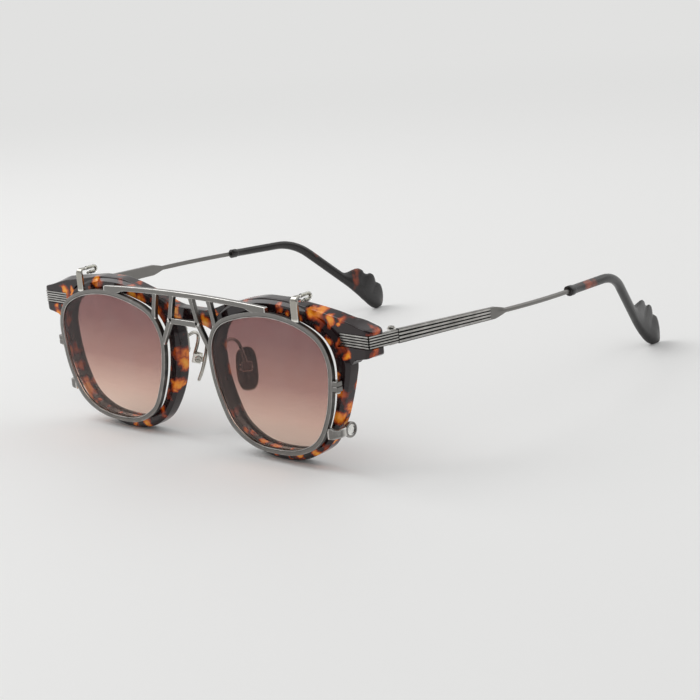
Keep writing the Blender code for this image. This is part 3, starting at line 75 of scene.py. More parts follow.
# Lens openings of the acetate front
LENS_WIDTH = 0.0481
LENS_HEIGHT = 0.0410
BRIDGE_WIDTH = 0.0220
LENS_OUTLINE_SHARES = (
    (1.0, 0.127), (0.994, 0.471), (0.850, 0.746), (0.501, 0.932), (0.04, 1.0), (-0.42, 0.932),
    (-0.813, 0.761), (-0.992, 0.439), (-0.985, 0.029), (-0.886, -0.376), (-0.709, -0.741),
    (-0.368, -0.961), (0.04, -1.0), (0.428, -0.932), (0.736, -0.722), (0.921, -0.322),
)

# Acetate rims, brow and bridge
RIM_WIDTH = 0.0044
RIM_CHIN = 0.0040
RIM_OUTLINE_SHARES = (
    (0.912, 0.607), (0.684, 0.811), (0.385, 0.951), (0.033, 0.992), (-0.318, 0.959), (-0.617, 0.869),
    (-0.859, 0.689), (-0.972, 0.443), (-0.982, 0.156), (-0.955, -0.09), (-0.905, -0.28), (-0.835, -0.45),
    (-0.745, -0.615), (-0.64, -0.76), (-0.50, -0.875), (-0.36, -0.945), (-0.20, -0.985), (0.0, -1.0),
    (0.279, -0.947), (0.508, -0.824),
    (0.673, -0.676), (0.828, -0.377), (0.912, -0.131), (0.986, 0.135), (1.016, 0.361),
)
RIM_CHAMFER = 0.0010
RIM_PROUD = 0.0012
RIM_THICKNESS = 0.0048
RIM_BACK_ROUND = 0.0006
OPENING_EDGE = 0.0003
REST_CUT = 0.0002  # how much the polished flat under each rim takes off
BAR_STEP = 0.0002

# Clear lenses and their groove in the acetate
LENS_THICKNESS = 0.0012
LENS_DOME = 0.0010
LENS_INSERTION = 0.0006
LENS_SETBACK = 0.0018

# End blocks of the acetate front
END_REACH = 0.0080
END_DEPTH = 0.0062
LIP_PROUD = 0.0005

# Ribbed metal end pieces
PLATE_DROP = 0.00515  # centre of the plate below the top of the lens opening
PLATE_HEIGHT = 0.0039
PLATE_THICKNESS = 0.0011
PLATE_FRONT = 0.0109
END_RIDGES = 5
RIDGE_DEPTH = 0.00028
CORNER_NOTCH = 0.00035

# Hinges
HINGE_SETBACK = 0.01145
HINGE_GAP = 0.0003
KNUCKLE_RADIUS = 0.0013
KNUCKLE_REACH = 0.0032
KNUCKLE_CLEARANCE = 0.00025
BARREL_HEIGHT = 0.0043
MIDDLE_KNUCKLE_HEIGHT = 0.0012
HINGE_SCREW_RADIUS = 0.0005
HINGE_HEAD_RADIUS = 0.0010
HINGE_HEAD_SHOWN = 0.0003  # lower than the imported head's 0.5 mm: the photo shows little of it

# Temples
SPLAY = math.tan(math.radians(5.6))
SLOPE = math.tan(math.radians(3.22))
ARM_HEIGHT = 0.0043
ARM_END_HEIGHT = 0.0037
ARM_RIDGES = 4
ARM_LENGTH = 0.0376
ARM_BORDER = 0.0016
ARM_TAPER = 0.0050
WIRE_RADIUS = 0.00075
WIRE_LENGTH = 0.0332
WIRE_INSERTION = 0.0145

# Acetate temple tips
SLEEVE_RADIUS = 0.00138
SLEEVE_COLLAR = 0.00022
COLLAR_LENGTH = 0.0030
SLEEVE_RUN = 0.0303
SLEEVE_TOE_IN = math.tan(math.radians(5.9))
EAR_DROP_ANGLE = math.radians(42.5)
EAR_TUCK_SHARE = 0.328
EAR_BEND_CUT = 0.0085
STRAIGHT_SHARES = (0.0, 0.35, 0.7)
STEM_HALF_WIDTH = 0.0017
STEM_HALF_THICKNESS = 0.0014
PADDLE_HALF_THICKNESS = 0.00095
PADDLE_LENGTH = 0.0256
PADDLE_WIDTH = 0.0089
PADDLE_FLARE = 0.0034
PADDLE_LIFT = 0.0007
FLARE_START_SHARE = 0.2
FLAT_GAIN_SHARE = 0.33
PADDLE_SHARES = (
    (0.00, 0.19, 0.19), (0.06, 0.23, 0.19), (0.11, 0.34, 0.19), (0.17, 0.55, 0.19), (0.23, 0.73, 0.19),
    (0.29, 0.82, 0.20), (0.35, 0.84, 0.21), (0.41, 0.79, 0.22), (0.455, 0.83, 0.23), (0.51, 0.96, 0.24),
    (0.57, 0.99, 0.26), (0.63, 0.92, 0.27), (0.69, 0.80, 0.28), (0.73, 0.83, 0.29), (0.79, 0.85, 0.29),
    (0.85, 0.78, 0.27), (0.91, 0.65, 0.22), (0.96, 0.50, 0.10), (0.99, 0.34, -0.02),
)

# Nose pads and their arms
PAD_BOX_OUT = 0.0111
PAD_BOX_BACK = 0.0105
PAD_BOX_DROP = 0.0220
PAD_TURN = math.radians(42)
PAD_LEAN = math.radians(18)
PAD_LENGTH = 0.0136
PAD_WIDTH = 0.0067
PAD_SQUARENESS = 3.0  # 2 would be an oval
PAD_THICKNESS = 0.0011
PAD_STANDOFF = 0.0015
PAD_DISH = 0.0006
PAD_DROP = 0.0005
BOX_WIDTH = 0.0032
BOX_HEIGHT = 0.0030
BOX_CHEEK = 0.0007
LUG_RADIUS = 0.0009
PAD_SCREW_RADIUS = 0.0004
PAD_HEAD_RADIUS = 0.0011
PAD_HEAD_HEIGHT = 0.0005
PAD_WIRE_RADIUS = 0.00055
ARM_PLATE_WIDTH = 0.0020
ARM_PLATE_THICKNESS = 0.0008
ARM_PLATE_TOP = 0.0093  # from the top of the lens opening
ARM_PLATE_LENGTH = 0.0092
WIRE_ROOT_SHARE = 0.42
PAD_WIRE_SHARES = ((0.0, 0.55, 0.0), (0.15, 0.92, 0.12), (0.45, 1.0, 0.50))
RIVET_RADIUS = 0.0005
RIVET_HEAD_RADIUS = 0.0008
RIVET_HEAD_HEIGHT = 0.0003
RIVET_DEPTH = 0.0020
RIVET_SHARES = (0.16, 0.84)

# Sun clip: rims, bars and struts
CLIP_STANDOFF = 0.0015
CLIP_RIM = 0.0010
CLIP_INSET = 0.0006
CLIP_DEPTH = 0.0016
CLIP_GROOVE = 0.0006
CLIP_LENS_THICKNESS = 0.0008
CLIP_BAR_SETBACK = 0.0001
CLIP_BAR_HEIGHT = 0.00165
CLIP_BAR_RISE = 0.0026
CLIP_BAR_FALL = 0.0011
CLIP_BAR_REACH_SHARE = 0.035
CLIP_STEP_SHARE = 0.8  # past here the bar stands on the rim as a step
CLIP_LOWER_BAR_DROP = 0.0062
CLIP_LOWER_BAR_HEIGHT = 0.0018
STRUT_WIDTH = 0.0016
OUTER_STRUT_TOP = 0.0118
OUTER_STRUT_FOOT = 0.0138
INNER_STRUT_TOP = 0.0040
INNER_STRUT_FOOT = 0.0063
LEG_FOOT_SHARE = 0.34
CLOSING_BLOCK_REACH = 0.0019
CLOSING_BLOCK_HEIGHT = 0.0031
CLOSING_BLOCK_DEPTH = 0.0024
CLOSING_BLOCK_SHARE = 0.12
RIM_SCREW_RADIUS = 0.00035
RIM_HEAD_RADIUS = 0.00075
RIM_HEAD_HEIGHT = 0.0004

# Clip hooks over the brow
HOOK_PLACE_SHARE = 0.522
HOOK_WIDTH = 0.0027
HOOK_THICKNESS = 0.0009
HOOK_WIRE_RADIUS = 0.00035
HOOK_REST = 0.0022
CURL_RETURN = 0.0026

# Clip claws round the lower outer corners
CLAW_ABOVE_CHIN = 0.0082
CLAW_HEIGHT = 0.0026
CLAW_ROOT_HEIGHT = 0.0036
CLAW_THICKNESS = 0.0008
CLAW_CUP_RADIUS = 0.0024
CLAW_CUP_BORE = 0.0017
CLAW_CUP_WIDTH = 0.0010
CLAW_CUP_BACK = 0.0023
CLAW_NECK_SHARE = 0.8
CLAW_FOOT_RADIUS = 0.0020
CLAW_FOOT_WIDTH = 0.0006

# Places that follow from the sizes above
LENS_X = BRIDGE_WIDTH / 2 + LENS_WIDTH / 2
LENS_Z = RIM_CHIN - REST_CUT + LENS_HEIGHT / 2
LENS_TOP = LENS_Z + LENS_HEIGHT / 2
RIM_FRONT = -RIM_PROUD
RIM_BACK = RIM_FRONT + RIM_THICKNESS
RIM_SIDE_X = LENS_X + LENS_WIDTH / 2 + RIM_WIDTH
CORNER_X = RIM_SIDE_X + END_REACH
BAR_FRONT = RIM_FRONT + RIM_CHAMFER
BAR_BACK = RIM_BACK - BAR_STEP
PLATE_Z = LENS_TOP - PLATE_DROP
GROOVE_FRONT = RIM_FRONT + LENS_SETBACK
HINGE_X = CORNER_X + HINGE_SETBACK * SPLAY - PLATE_THICKNESS - KNUCKLE_RADIUS - KNUCKLE_CLEARANCE
HINGE_Z = PLATE_Z - SLOPE * (HINGE_SETBACK - PLATE_THICKNESS)
HINGE = np.array((HINGE_X, HINGE_SETBACK, HINGE_Z))
CLIP_BACK = RIM_FRONT - CLIP_STANDOFF
HOOK_PLACE = LENS_X + HOOK_PLACE_SHARE * LENS_WIDTH / 2
CLIP_FRONT = CLIP_BACK - CLIP_DEPTH
CLIP_TOP = LENS_TOP + CLIP_RIM
CLIP_BAR_REACH = LENS_X + CLIP_BAR_REACH_SHARE * LENS_WIDTH / 2
CLIP_GROOVE_FRONT = (CLIP_FRONT + CLIP_BACK - CLIP_LENS_THICKNESS) / 2 - FIT / 2


def linear(code):
    """An sRGB hex colour as linear red, green and blue."""
    parts = [int(code[i : i + 2], 16) / 255 for i in (1, 3, 5)]
    return [c / 12.92 if c <= 0.04045 else ((c + 0.055) / 1.055) ** 2.4 for c in parts] + [1.0]


def add_node(tree, kind, links=None, **settings):
    """Adds a shader node: links maps an input to a socket or a value, settings are its attributes."""
    made = tree.nodes.new("ShaderNode" + kind)
    for key, value in settings.items():
        setattr(made, key, value)
    for key, value in (links or {}).items():
        if isinstance(value, bpy.types.NodeSocket):
            tree.links.new(value, made.inputs[key])
        else:
            made.inputs[key].default_value = value
    return made


def ramp(tree, value, stops, smooth=False):
    """A colour ramp over the value: stops are (place, hex colour)."""
    made = add_node(tree, "ValToRGB", {"Fac": value})
    made.color_ramp.interpolation = "EASE" if smooth else "LINEAR"
    elements = made.color_ramp.elements
    while len(elements) < len(stops):
        elements.new(0.5)
    for element, (place, code) in zip(elements, stops):
        element.position = place
        element.color = linear(code)
    return made.outputs["Color"]


def new_material(name):
    """A material with an empty tree, its output and its Object coordinates."""
    made = bpy.data.materials.new(name)
    made.use_nodes = True
    tree = made.node_tree
    tree.nodes.clear()
    output = add_node(tree, "OutputMaterial")
    place = add_node(tree, "TexCoord").outputs["Object"]
    return made, tree, output, place


# Millimetres of the acetate's pattern: the ragged edges' grain, how far they are bent, polishing waves
RAGGED_MM, BENT_MM, POLISH_MM = 2.8, 3.6, 5.0


def acetate(name, stops, cloud_mm, roughness, patches=(), plain=0.56):
    """Polished cellulose acetate, cut from a laminated block, so its colours run through in clouds.

    How amber a place is comes from the nearest of the patches that the photograph shows, 1 at its
    middle and 0 at its edge, and elsewhere from a noise of the clouds' size. Both are bent and
    broken up by a finer noise, which leaves the ragged red-brown edges of the real sheet. Faint
    waves stand for hand polishing and the gloss varies with handling.
    """
    made, tree, output, place = new_material(name)
    fine = add_node(
        tree, "TexNoise", {"Vector": place, "Scale": 1 / (RAGGED_MM * MM), "Detail": 2.0, "Roughness": 0.5}
    )
    shifted = add_node(
        tree, "VectorMath", {0: fine.outputs["Color"], 1: (0.5, 0.5, 0.5)}, operation="SUBTRACT"
    ).outputs[0]
    bent = add_node(
        tree, "VectorMath", {0: shifted, 1: (BENT_MM * MM,) * 3, 2: place}, operation="MULTIPLY_ADD"
    ).outputs[0]
    cloud = add_node(
        tree, "TexNoise", {"Vector": bent, "Scale": 1 / (cloud_mm * MM), "Detail": 1.0, "Roughness": 0.5}
    ).outputs["Fac"]
    amount = add_node(tree, "Math", {0: cloud, 1: plain}, operation="SUBTRACT").outputs[0]
    amount = add_node(tree, "Math", {0: amount, 1: 3.2}, operation="MULTIPLY").outputs[0]
    for x, y, z, radius in patches:
        far = add_node(tree, "VectorMath", {0: bent, 1: at(x, y, z)}, operation="DISTANCE").outputs["Value"]
        inside = add_node(
            tree, "Math", {0: far, 1: -1 / (radius * MM), 2: 1.0}, operation="MULTIPLY_ADD"
        ).outputs[0]
        amount = add_node(tree, "Math", {0: amount, 1: inside}, operation="MAXIMUM").outputs[0]
    broken = add_node(
        tree, "MapRange", {"Value": fine.outputs["Fac"], "From Min": 0.3, "From Max": 0.7,
                           "To Min": -0.12, "To Max": 0.12}
    ).outputs[0]
    amount = add_node(tree, "Math", {0: amount, 1: broken}, operation="ADD").outputs[0]
    colour = ramp(tree, amount, stops)
    wave = add_node(
        tree, "TexNoise", {"Vector": place, "Scale": 1 / (POLISH_MM * MM), "Detail": 1.0}
    ).outputs["Fac"]
    bump = add_node(tree, "Bump", {"Height": wave, "Strength": 0.06, "Distance": 0.25 * MM}).outputs[0]
    gloss = add_node(
        tree, "MapRange", {"Value": cloud, "From Min": 0.3, "From Max": 0.7,
                           "To Min": roughness, "To Max": roughness + 0.05}
    ).outputs[0]
    shader = add_node(
        tree, "BsdfPrincipled", {"Base Color": colour, "Roughness": gloss, "IOR": 1.49, "Normal": bump}
    )
    tree.links.new(shader.outputs[0], output.inputs["Surface"])
    return made


def plated_metal(name, code, hollow_shade_code, edge_wear_and_highlight_code, roughness, cloud_mm):
    """Plated metal with painted light: darker where a place lies hollow, as painted shade, and brighter
    on edges, partly rubbed wear and partly painted highlight.

    The mesh's own wear-and-shade value, above 0 on edges and below 0 in hollows, chooses between the
    three colours. Clouds of handling tone the flats and vary the gloss.
    """
    made, tree, output, place = new_material(name)
    # Above 0 on edges and below 0 in hollows: it paints shade in hollows and highlight with rubbed wear on
    # edges
    wear_and_shade = add_node(tree, "Attribute", attribute_name="wear_and_shade").outputs["Fac"]
    cloud = add_node(
        tree, "TexNoise", {"Vector": place, "Scale": 1 / (cloud_mm * MM), "Detail": 3.0}
    ).outputs["Fac"]
    tone = add_node(
        tree, "MapRange", {"Value": cloud, "From Min": 0.3, "From Max": 0.7, "To Min": -0.03, "To Max": 0.03}
    ).outputs[0]
    amount = add_node(tree, "Math", {0: wear_and_shade, 1: tone}, operation="ADD").outputs[0]
    share = add_node(
        tree, "MapRange", {"Value": amount, "From Min": -0.2, "From Max": 0.2}
    ).outputs[0]
    # Darkest stop: painted shade in hollows; brightest stop: rubbed wear and painted highlight on edges
    colour = ramp(tree, share, ((0.0, hollow_shade_code), (0.38, code), (0.62, code), (1.0, edge_wear_and_highlight_code)))
    rough = add_node(
        tree, "MapRange", {"Value": share, "To Min": roughness + 0.12, "To Max": roughness - 0.06}
    ).outputs[0]
    shader = add_node(tree, "BsdfPrincipled", {"Base Color": colour, "Metallic": 1.0, "Roughness": rough})
    tree.links.new(shader.outputs[0], output.inputs["Surface"])
    return made


def see_through(name, colour_of, roughness, ior):
    """Clear polymer: a glass shader, with a transparent one for the lamps' rays so that they pass.

    A very faint cloudiness in the colour stands for the film that handling leaves.
    """
    made, tree, output, place = new_material(name)
    clear = colour_of(tree, place)
    smear = add_node(tree, "TexNoise", {"Vector": place, "Scale": 1 / (7 * MM), "Detail": 3.0}).outputs["Fac"]
    film = add_node(
        tree, "MapRange", {"Value": smear, "From Min": 0.4, "From Max": 0.8, "To Max": 0.06}
    ).outputs[0]
    colour = add_node(
        tree, "MixRGB", {"Fac": film, "Color1": clear, "Color2": linear("#D9D6D2")}
    ).outputs[0]
    shader = add_node(
        tree, "BsdfPrincipled",
        {"Base Color": colour, "Roughness": roughness, "IOR": ior, "Transmission Weight": 1.0},
    )
    passed = add_node(tree, "BsdfTransparent", {"Color": colour})
    shadow = add_node(tree, "LightPath").outputs["Is Shadow Ray"]
    mixed = add_node(tree, "MixShader", {0: shadow, 1: shader.outputs[0], 2: passed.outputs[0]})
    tree.links.new(mixed.outputs[0], output.inputs["Surface"])
    return made


def sun_gradient(tree, place):
    """The gradient of the sun lenses by height: mauve brown above, warm beige below."""
    height = add_node(tree, "SeparateXYZ", {0: place}).outputs["Z"]
    share = add_node(
        tree, "MapRange", {"Value": height, "From Min": LENS_Z - LENS_HEIGHT / 2, "From Max": LENS_TOP}
    ).outputs[0]
    stops = (0.0, "#FBE0D0"), (0.25, "#E3BCAD"), (0.5, "#B2867D"), (0.8, "#8E6462"), (1.0, "#855B5B")
    return ramp(tree, share, stops)


def at(x, y, z):
    """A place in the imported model's frame, from millimetres in the design's."""
    return (x * MM, y * MM + FRONT_PLANE, z * MM)


# Amber patches that the photograph shows on the acetate: x, y, z and reach in millimetres
AMBER_PATCHES = (
    # brow, rim and end block on the wearer's left
    (38.8, 0.5, 46.8, 2.2), (41.6, 0.0, 45.0, 1.8), (46.4, 0.0, 43.6, 2.2), (50.4, 0.3, 46.4, 2.6),
    (53.6, 0.0, 46.8, 1.8), (57.4, 0.0, 44.9, 2.2), (60.3, 0.4, 44.0, 1.3), (57.4, -1.0, 38.9, 2.0),
    (63.2, 0.0, 35.7, 1.8), (59.7, -0.8, 29.2, 1.6), (60.8, 2.4, 18.4, 3.0), (58.0, 0.0, 16.4, 2.8),
    (59.4, 2.4, 13.6, 2.2), (48.6, -0.5, 4.2, 2.2), (42.0, -0.8, 2.6, 1.6), (54.6, 1.0, 9.0, 1.8),
    # bridge and nose sides
    (-7.2, 0.0, 41.4, 1.9), (-6.6, 0.3, 39.0, 1.8), (5.6, 0.2, 38.8, 3.0), (4.8, 0.4, 36.0, 2.2),
    (10.6, 0.3, 41.9, 1.8), (-12.8, 1.0, 31.2, 1.7), (-8.6, 1.4, 31.0, 1.6), (-12.4, 0.8, 27.0, 2.2),
    (-8.9, 1.2, 27.6, 3.2), (-7.6, 1.6, 24.0, 3.0), (-6.0, 2.4, 27.0, 2.6), (-11.4, 0.8, 23.6, 1.6),
    (-14.6, 0.8, 18.6, 1.6), (-12.8, 1.5, 16.9, 1.8), (-10.2, 1.8, 17.2, 1.7), (11.4, 3.0, 32.0, 2.2),
    (11.6, 3.4, 24.0, 2.4), (18.6, -0.4, 16.0, 2.6), (20.6, -0.4, 11.4, 2.2), (23.0, -0.4, 8.0, 2.8),
    (26.8, -0.4, 5.2, 2.2), (32.0, -0.4, 3.2, 2.4), (38.0, -0.4, 2.6, 1.8),
    # brow, rim and end block on the wearer's right
    (-43.6, 0.0, 47.4, 2.6), (-46.8, 0.0, 44.8, 1.8), (-60.8, 0.0, 42.2, 2.0), (-56.6, 0.0, 42.8, 1.8),
    (-66.2, 0.3, 37.0, 1.5), (-66.0, 0.0, 33.6, 2.8), (-24.6, 1.4, 45.8, 2.8), (-21.6, 0.0, 43.0, 2.8),
    (-17.0, 0.2, 43.0, 1.8), (-14.8, 0.0, 40.2, 3.0), (-61.6, -0.8, 27.0, 2.6), (-60.6, -0.4, 22.4, 2.8),
    (-58.6, 0.0, 17.4, 2.8), (-56.2, 0.0, 12.8, 2.2), (-53.6, 0.0, 7.8, 2.6), (-50.2, 0.0, 5.4, 2.4),
    (-45.6, 0.0, 3.6, 2.2), (-39.6, 0.0, 2.8, 1.8), (-26.0, -0.5, 2.6, 2.4), (-31.6, -0.8, 1.8, 1.6),
    (-18.6, 0.5, 8.4, 1.8),
)

# Laminated cellulose acetate, tumbled and hand polished: amber patches run through near black brown
# with ragged red edges, under a clear gloss
TORTOISE = acetate(
    "tortoiseshell_acetate",
    ((0.0, "#211517"), (0.06, "#371A1A"), (0.16, "#6E2616"), (0.3, "#B34A1A"), (0.48, "#EE8420"),
     (0.8, "#FFAE34")),
    cloud_mm=7.0, roughness=0.08, patches=AMBER_PATCHES,
)
# The same acetate cut from a darker sheet and worn to a satin: charcoal with a few dull red clouds
TIP_ACETATE = acetate(
    "dark_tortoiseshell_acetate",
    ((0.0, "#232121"), (0.08, "#2C2625"), (0.2, "#5A2B20"), (0.45, "#94452B")),
    cloud_mm=9.0, roughness=0.22,
    patches=((70.0, 88.0, 34.0, 3.0), (-70.0, 92.0, 34.0, 4.0)),
    plain=0.62,
)
# Gunmetal plating over steel, brushed by wear: mid grey flats, painted shade in the grooves and pale edges,
# partly rubbed and partly painted highlight
GUNMETAL = plated_metal(
    "gunmetal_plated_steel", "#7F7D7A", "#232221", "#E0DEDA", roughness=0.27, cloud_mm=3.0
)
# Nickel silver, polished: small bright parts with sharp highlights, painted shade in their hollows and pale
# edges, partly rubbed and partly painted highlight
NICKEL = plated_metal("polished_nickel_silver", "#A5A29A", "#34322F", "#F2F0EA", roughness=0.16, cloud_mm=2.0)
# Optical lenses, nearly unseen in the photo. The IOR is matched to that, far under a real
# lens's 1.5 or so: the nearest that this material comes to an anti-reflective coat
CLEAR = see_through("anti_reflective_lens", lambda tree, place: linear("#F8FAF9"), roughness=0.0, ior=1.08)
# Tinted plastic lenses: a gradient with soft reflections. The IOR is matched, under the
# plastic's 1.5 or so
SUN = see_through("gradient_tinted_lens", sun_gradient, roughness=0.0, ior=1.35)
# Moulded clear silicone, a little cloudy: soft bright edges round the wire
SILICONE = see_through("clear_silicone", lambda tree, place: linear("#F0F0EC"), roughness=0.12, ior=1.4)

SLOT_LOOKS = {
    "tortoiseshell_acetate": TORTOISE,
    "dark_acetate": TIP_ACETATE,
    "gunmetal": GUNMETAL,
    "bright_metal": NICKEL,
    "clear_lens": CLEAR,
    "tinted_lens": SUN,
    "clear_silicone": SILICONE,
}
NODE_SLOTS = {row["node"]: row["material_slot"] for row in frame["record"]["subparts"]}
for node, slot in NODE_SLOTS.items():
    mesh = frame["nodes"][node].data
    mesh.materials.clear()
    mesh.materials.append(SLOT_LOOKS[slot])
NODE_BODIES = {
    node: body for body, nodes in frame["record"]["behaviour"]["bodies"].items() for node in nodes
}
SIDES = (("left", 1.0), ("right", -1.0))
UP = np.array((0.0, 0.0, 1.0))


def add_object(name, data):
    """A new object in the scene."""
    made = bpy.data.objects.new(name, data)
    bpy.context.scene.collection.objects.link(made)
    return made


def unit(v):
    """A vector of length 1."""
    return np.asarray(v, float) / np.linalg.norm(v)


def directions(path):
    """The direction of a path at each of its points, length 1."""
    way = np.gradient(np.asarray(path, float), axis=0)
    return way / np.linalg.norm(way, axis=1)[:, None]


def quarter(count, last=90):
    """Cosines and sines from 0 to the last angle, by default a quarter circle."""
    turn = np.radians(np.linspace(0, last, count))
    return np.cos(turn), np.sin(turn)


def eased_run(low, high, soft):
    """Places from low to high, with one a little inside each end, as a column."""
    return np.array((low, low + soft, high - soft, high))[:, None]


def skin(loops, around=False):
    """Points, quads and end caps of loops of equal count: each loop is joined to the next one.

    With around, the last loop is joined to the first and nothing is capped.
    """
    stack, count = loops.shape[:2]
    low = np.arange(stack if around else stack - 1)[:, None] * count
    high = (low + count) % (stack * count)
    i = np.arange(count)[None, :]
    j = (i + 1) % count
    quads = np.stack([low + i, low + j, high + j, high + i], axis=-1).reshape(-1, 4)
    caps = [] if around else [np.arange(count), np.arange((stack - 1) * count, stack * count)]
    return loops.reshape(-1, 3), quads, caps


def mirrored(shell):
    """The same shell on the other side of the bridge."""
    points, quads, caps = shell
    return points * (-1.0, 1.0, 1.0), quads, caps


def make_mesh(name, shells, side=1.0):
    """One mesh of closed shells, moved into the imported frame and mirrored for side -1, faces outward."""
    starts = np.cumsum([0] + [len(points) for points, quads, caps in shells])
    points = np.concatenate([points for points, quads, caps in shells])
    faces = []
    for start, (_, quads, caps) in zip(starts, shells):
        faces += (quads + start).tolist() + [(cap + start).tolist() for cap in caps]
    mesh = bpy.data.meshes.new(name)
    mesh.from_pydata((points * (side, 1.0, 1.0) + (0.0, FRONT_PLANE, 0.0)).tolist(), [], faces)
    editor = bmesh.new()
    editor.from_mesh(mesh)
    bmesh.ops.recalc_face_normals(editor, faces=editor.faces)
    editor.to_mesh(mesh)
    editor.free()
    return mesh


def add_wear_and_shade(mesh, given=None):
    """Writes each point's wear-and-shade value: the mean over its edges of -n.d, n its normal and d the
    edge's way.

    It is above 0 on an outward edge, which the metal shows as rubbed wear and painted highlight, and
    below 0 in a hollow, which it shows as painted shade. Where values are given, they hold instead,
    apart from those that are not numbers.
    """
    count = len(mesh.vertices)
    spots, normals, pairs = np.empty(count * 3), np.empty(count * 3), np.empty(len(mesh.edges) * 2, int)
    mesh.vertices.foreach_get("co", spots)
    mesh.vertex_normals.foreach_get("vector", normals)
    mesh.edges.foreach_get("vertices", pairs)
    spots, normals = spots.reshape(-1, 3), normals.reshape(-1, 3)
    first, second = pairs.reshape(-1, 2).T
    way = spots[second] - spots[first]
    way /= np.maximum(np.linalg.norm(way, axis=1), 1e-9)[:, None]
    total = np.bincount(first, -(normals[first] * way).sum(axis=1), count)
    total += np.bincount(second, (normals[second] * way).sum(axis=1), count)
    wear_and_shade = total / np.maximum(np.bincount(pairs, minlength=count), 1)
    if given is not None:
        wear_and_shade = np.where(np.isnan(given), wear_and_shade, given)
    mesh.attributes.new("wear_and_shade", "FLOAT", "POINT").data.foreach_set("value", wear_and_shade)


def unworn(shells, value=math.nan):
    """One wear-and-shade value for all points of some shells: by default none, so that it is worked out."""
    return np.full(sum(len(points) for points, _, _ in shells), value)


def add_piece(name, mesh, node, sharp=30.0, wear_and_shade=None):
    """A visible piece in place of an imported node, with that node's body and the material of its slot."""
    made = add_object(name, mesh)
    mesh.materials.append(SLOT_LOOKS[NODE_SLOTS[node]])
    mesh.shade_smooth()
    mesh.set_sharp_from_angle(angle=math.radians(sharp))
    # Metal pieces get painted shade in hollows and painted highlight with rubbed wear on edges
    if NODE_SLOTS[node] in ("gunmetal", "bright_metal"):
        add_wear_and_shade(mesh, wear_and_shade)
    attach(made, NODE_BODIES[node])
    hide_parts(node)
    return made


def add_pair(name, node, shells, sharp=30.0, wear_and_shade=None):
    """The same shells as a left and a right piece."""
    for word, side in SIDES:
        mesh = make_mesh(f"{name}_{word}", shells, side)
        add_piece(f"{name}_{word}", mesh, f"{node}_{word}", sharp, wear_and_shade)


def even_shading(piece):
    """Normals that follow the larger faces, so that flats look flat between eased edges."""
    modifier = piece.modifiers.new("even_shading", "WEIGHTED_NORMAL")
    modifier.keep_sharp = True
    modifier.weight = 60


def cut_mesh(name, body, tools):
    """The body's mesh with each tool's mesh joined or cut: tools are (mesh, operation)."""
    made = [add_object(name, mesh) for mesh in [body] + [tool for tool, _ in tools]]
    for other, (_, operation) in zip(made[1:], tools):
        modifier = made[0].modifiers.new("join_or_cut", "BOOLEAN")
        modifier.object, modifier.operation, modifier.solver = other, operation, "EXACT"
    graph = bpy.context.evaluated_depsgraph_get()
    result = bpy.data.meshes.new_from_object(made[0].evaluated_get(graph))
    for thing in made:
        bpy.data.objects.remove(thing, do_unlink=True)
    return result


def smooth_through(x, y, at_x):
    """A line through points of growing x: cubics whose slope at a point is the mean of its two rises'.

    The mean is harmonic and zero at a turn, so that the line never overshoots.
    """
    x, y, at_x = (np.asarray(v, float) for v in (x, y, at_x))
    step = np.diff(x)
    rise = np.diff(y) / step
    turns = rise[:-1] * rise[1:] <= 0
    before, after = np.where(turns, 1.0, rise[:-1]), np.where(turns, 1.0, rise[1:])
    slope = np.zeros_like(y)
    slope[1:-1] = np.where(turns, 0.0, 2 / (1 / before + 1 / after))
    slope[-1] = rise[-1]
    i = np.clip(np.searchsorted(x, at_x) - 1, 0, len(step) - 1)
    t, h = (at_x - x[i]) / step[i], step[i]
    return (
        y[i] * (1 + 2 * t) * (1 - t) ** 2 + h * slope[i] * t * (1 - t) ** 2
        + y[i + 1] * t**2 * (3 - 2 * t) + h * slope[i + 1] * t**2 * (t - 1)
    )


def cubic(a, b, c, d, u):
    """From b to c as u goes from 0 to 1, leaving each along the line between its neighbours."""
    return b + 0.5 * u * (c - a + u * (2 * a - 5 * b + 4 * c - d + u * (3 * (b - c) + d - a)))


def smooth_ring(shares, per_span=24):
    """A closed smooth curve through the points."""
    points = np.asarray(shares, float)[:, None]
    a, c, d = (np.roll(points, -k, axis=0) for k in (-1, 1, 2))
    u = np.linspace(0.0, 1.0, per_span, endpoint=False)[None, :, None]
    return cubic(a, points, c, d, u).reshape(-1, 2)


def smooth_path(points, per_span):
    """An open smooth curve through the points."""
    points = np.asarray(points, float)
    ends = np.vstack([2 * points[0] - points[1], points, 2 * points[-1] - points[-2]])[:, None]
    u = np.linspace(0.0, 1.0, per_span, endpoint=False)[None, :, None]
    return np.vstack([cubic(ends[:-3], ends[1:-2], ends[2:-1], ends[3:], u).reshape(-1, 3), points[-1:]])


LENS_CURVE = smooth_ring(LENS_OUTLINE_SHARES) * (LENS_WIDTH / 2, LENS_HEIGHT / 2)
RIM_CURVE = smooth_ring(RIM_OUTLINE_SHARES) * (LENS_WIDTH / 2 + RIM_WIDTH, LENS_HEIGHT / 2 + RIM_CHIN)


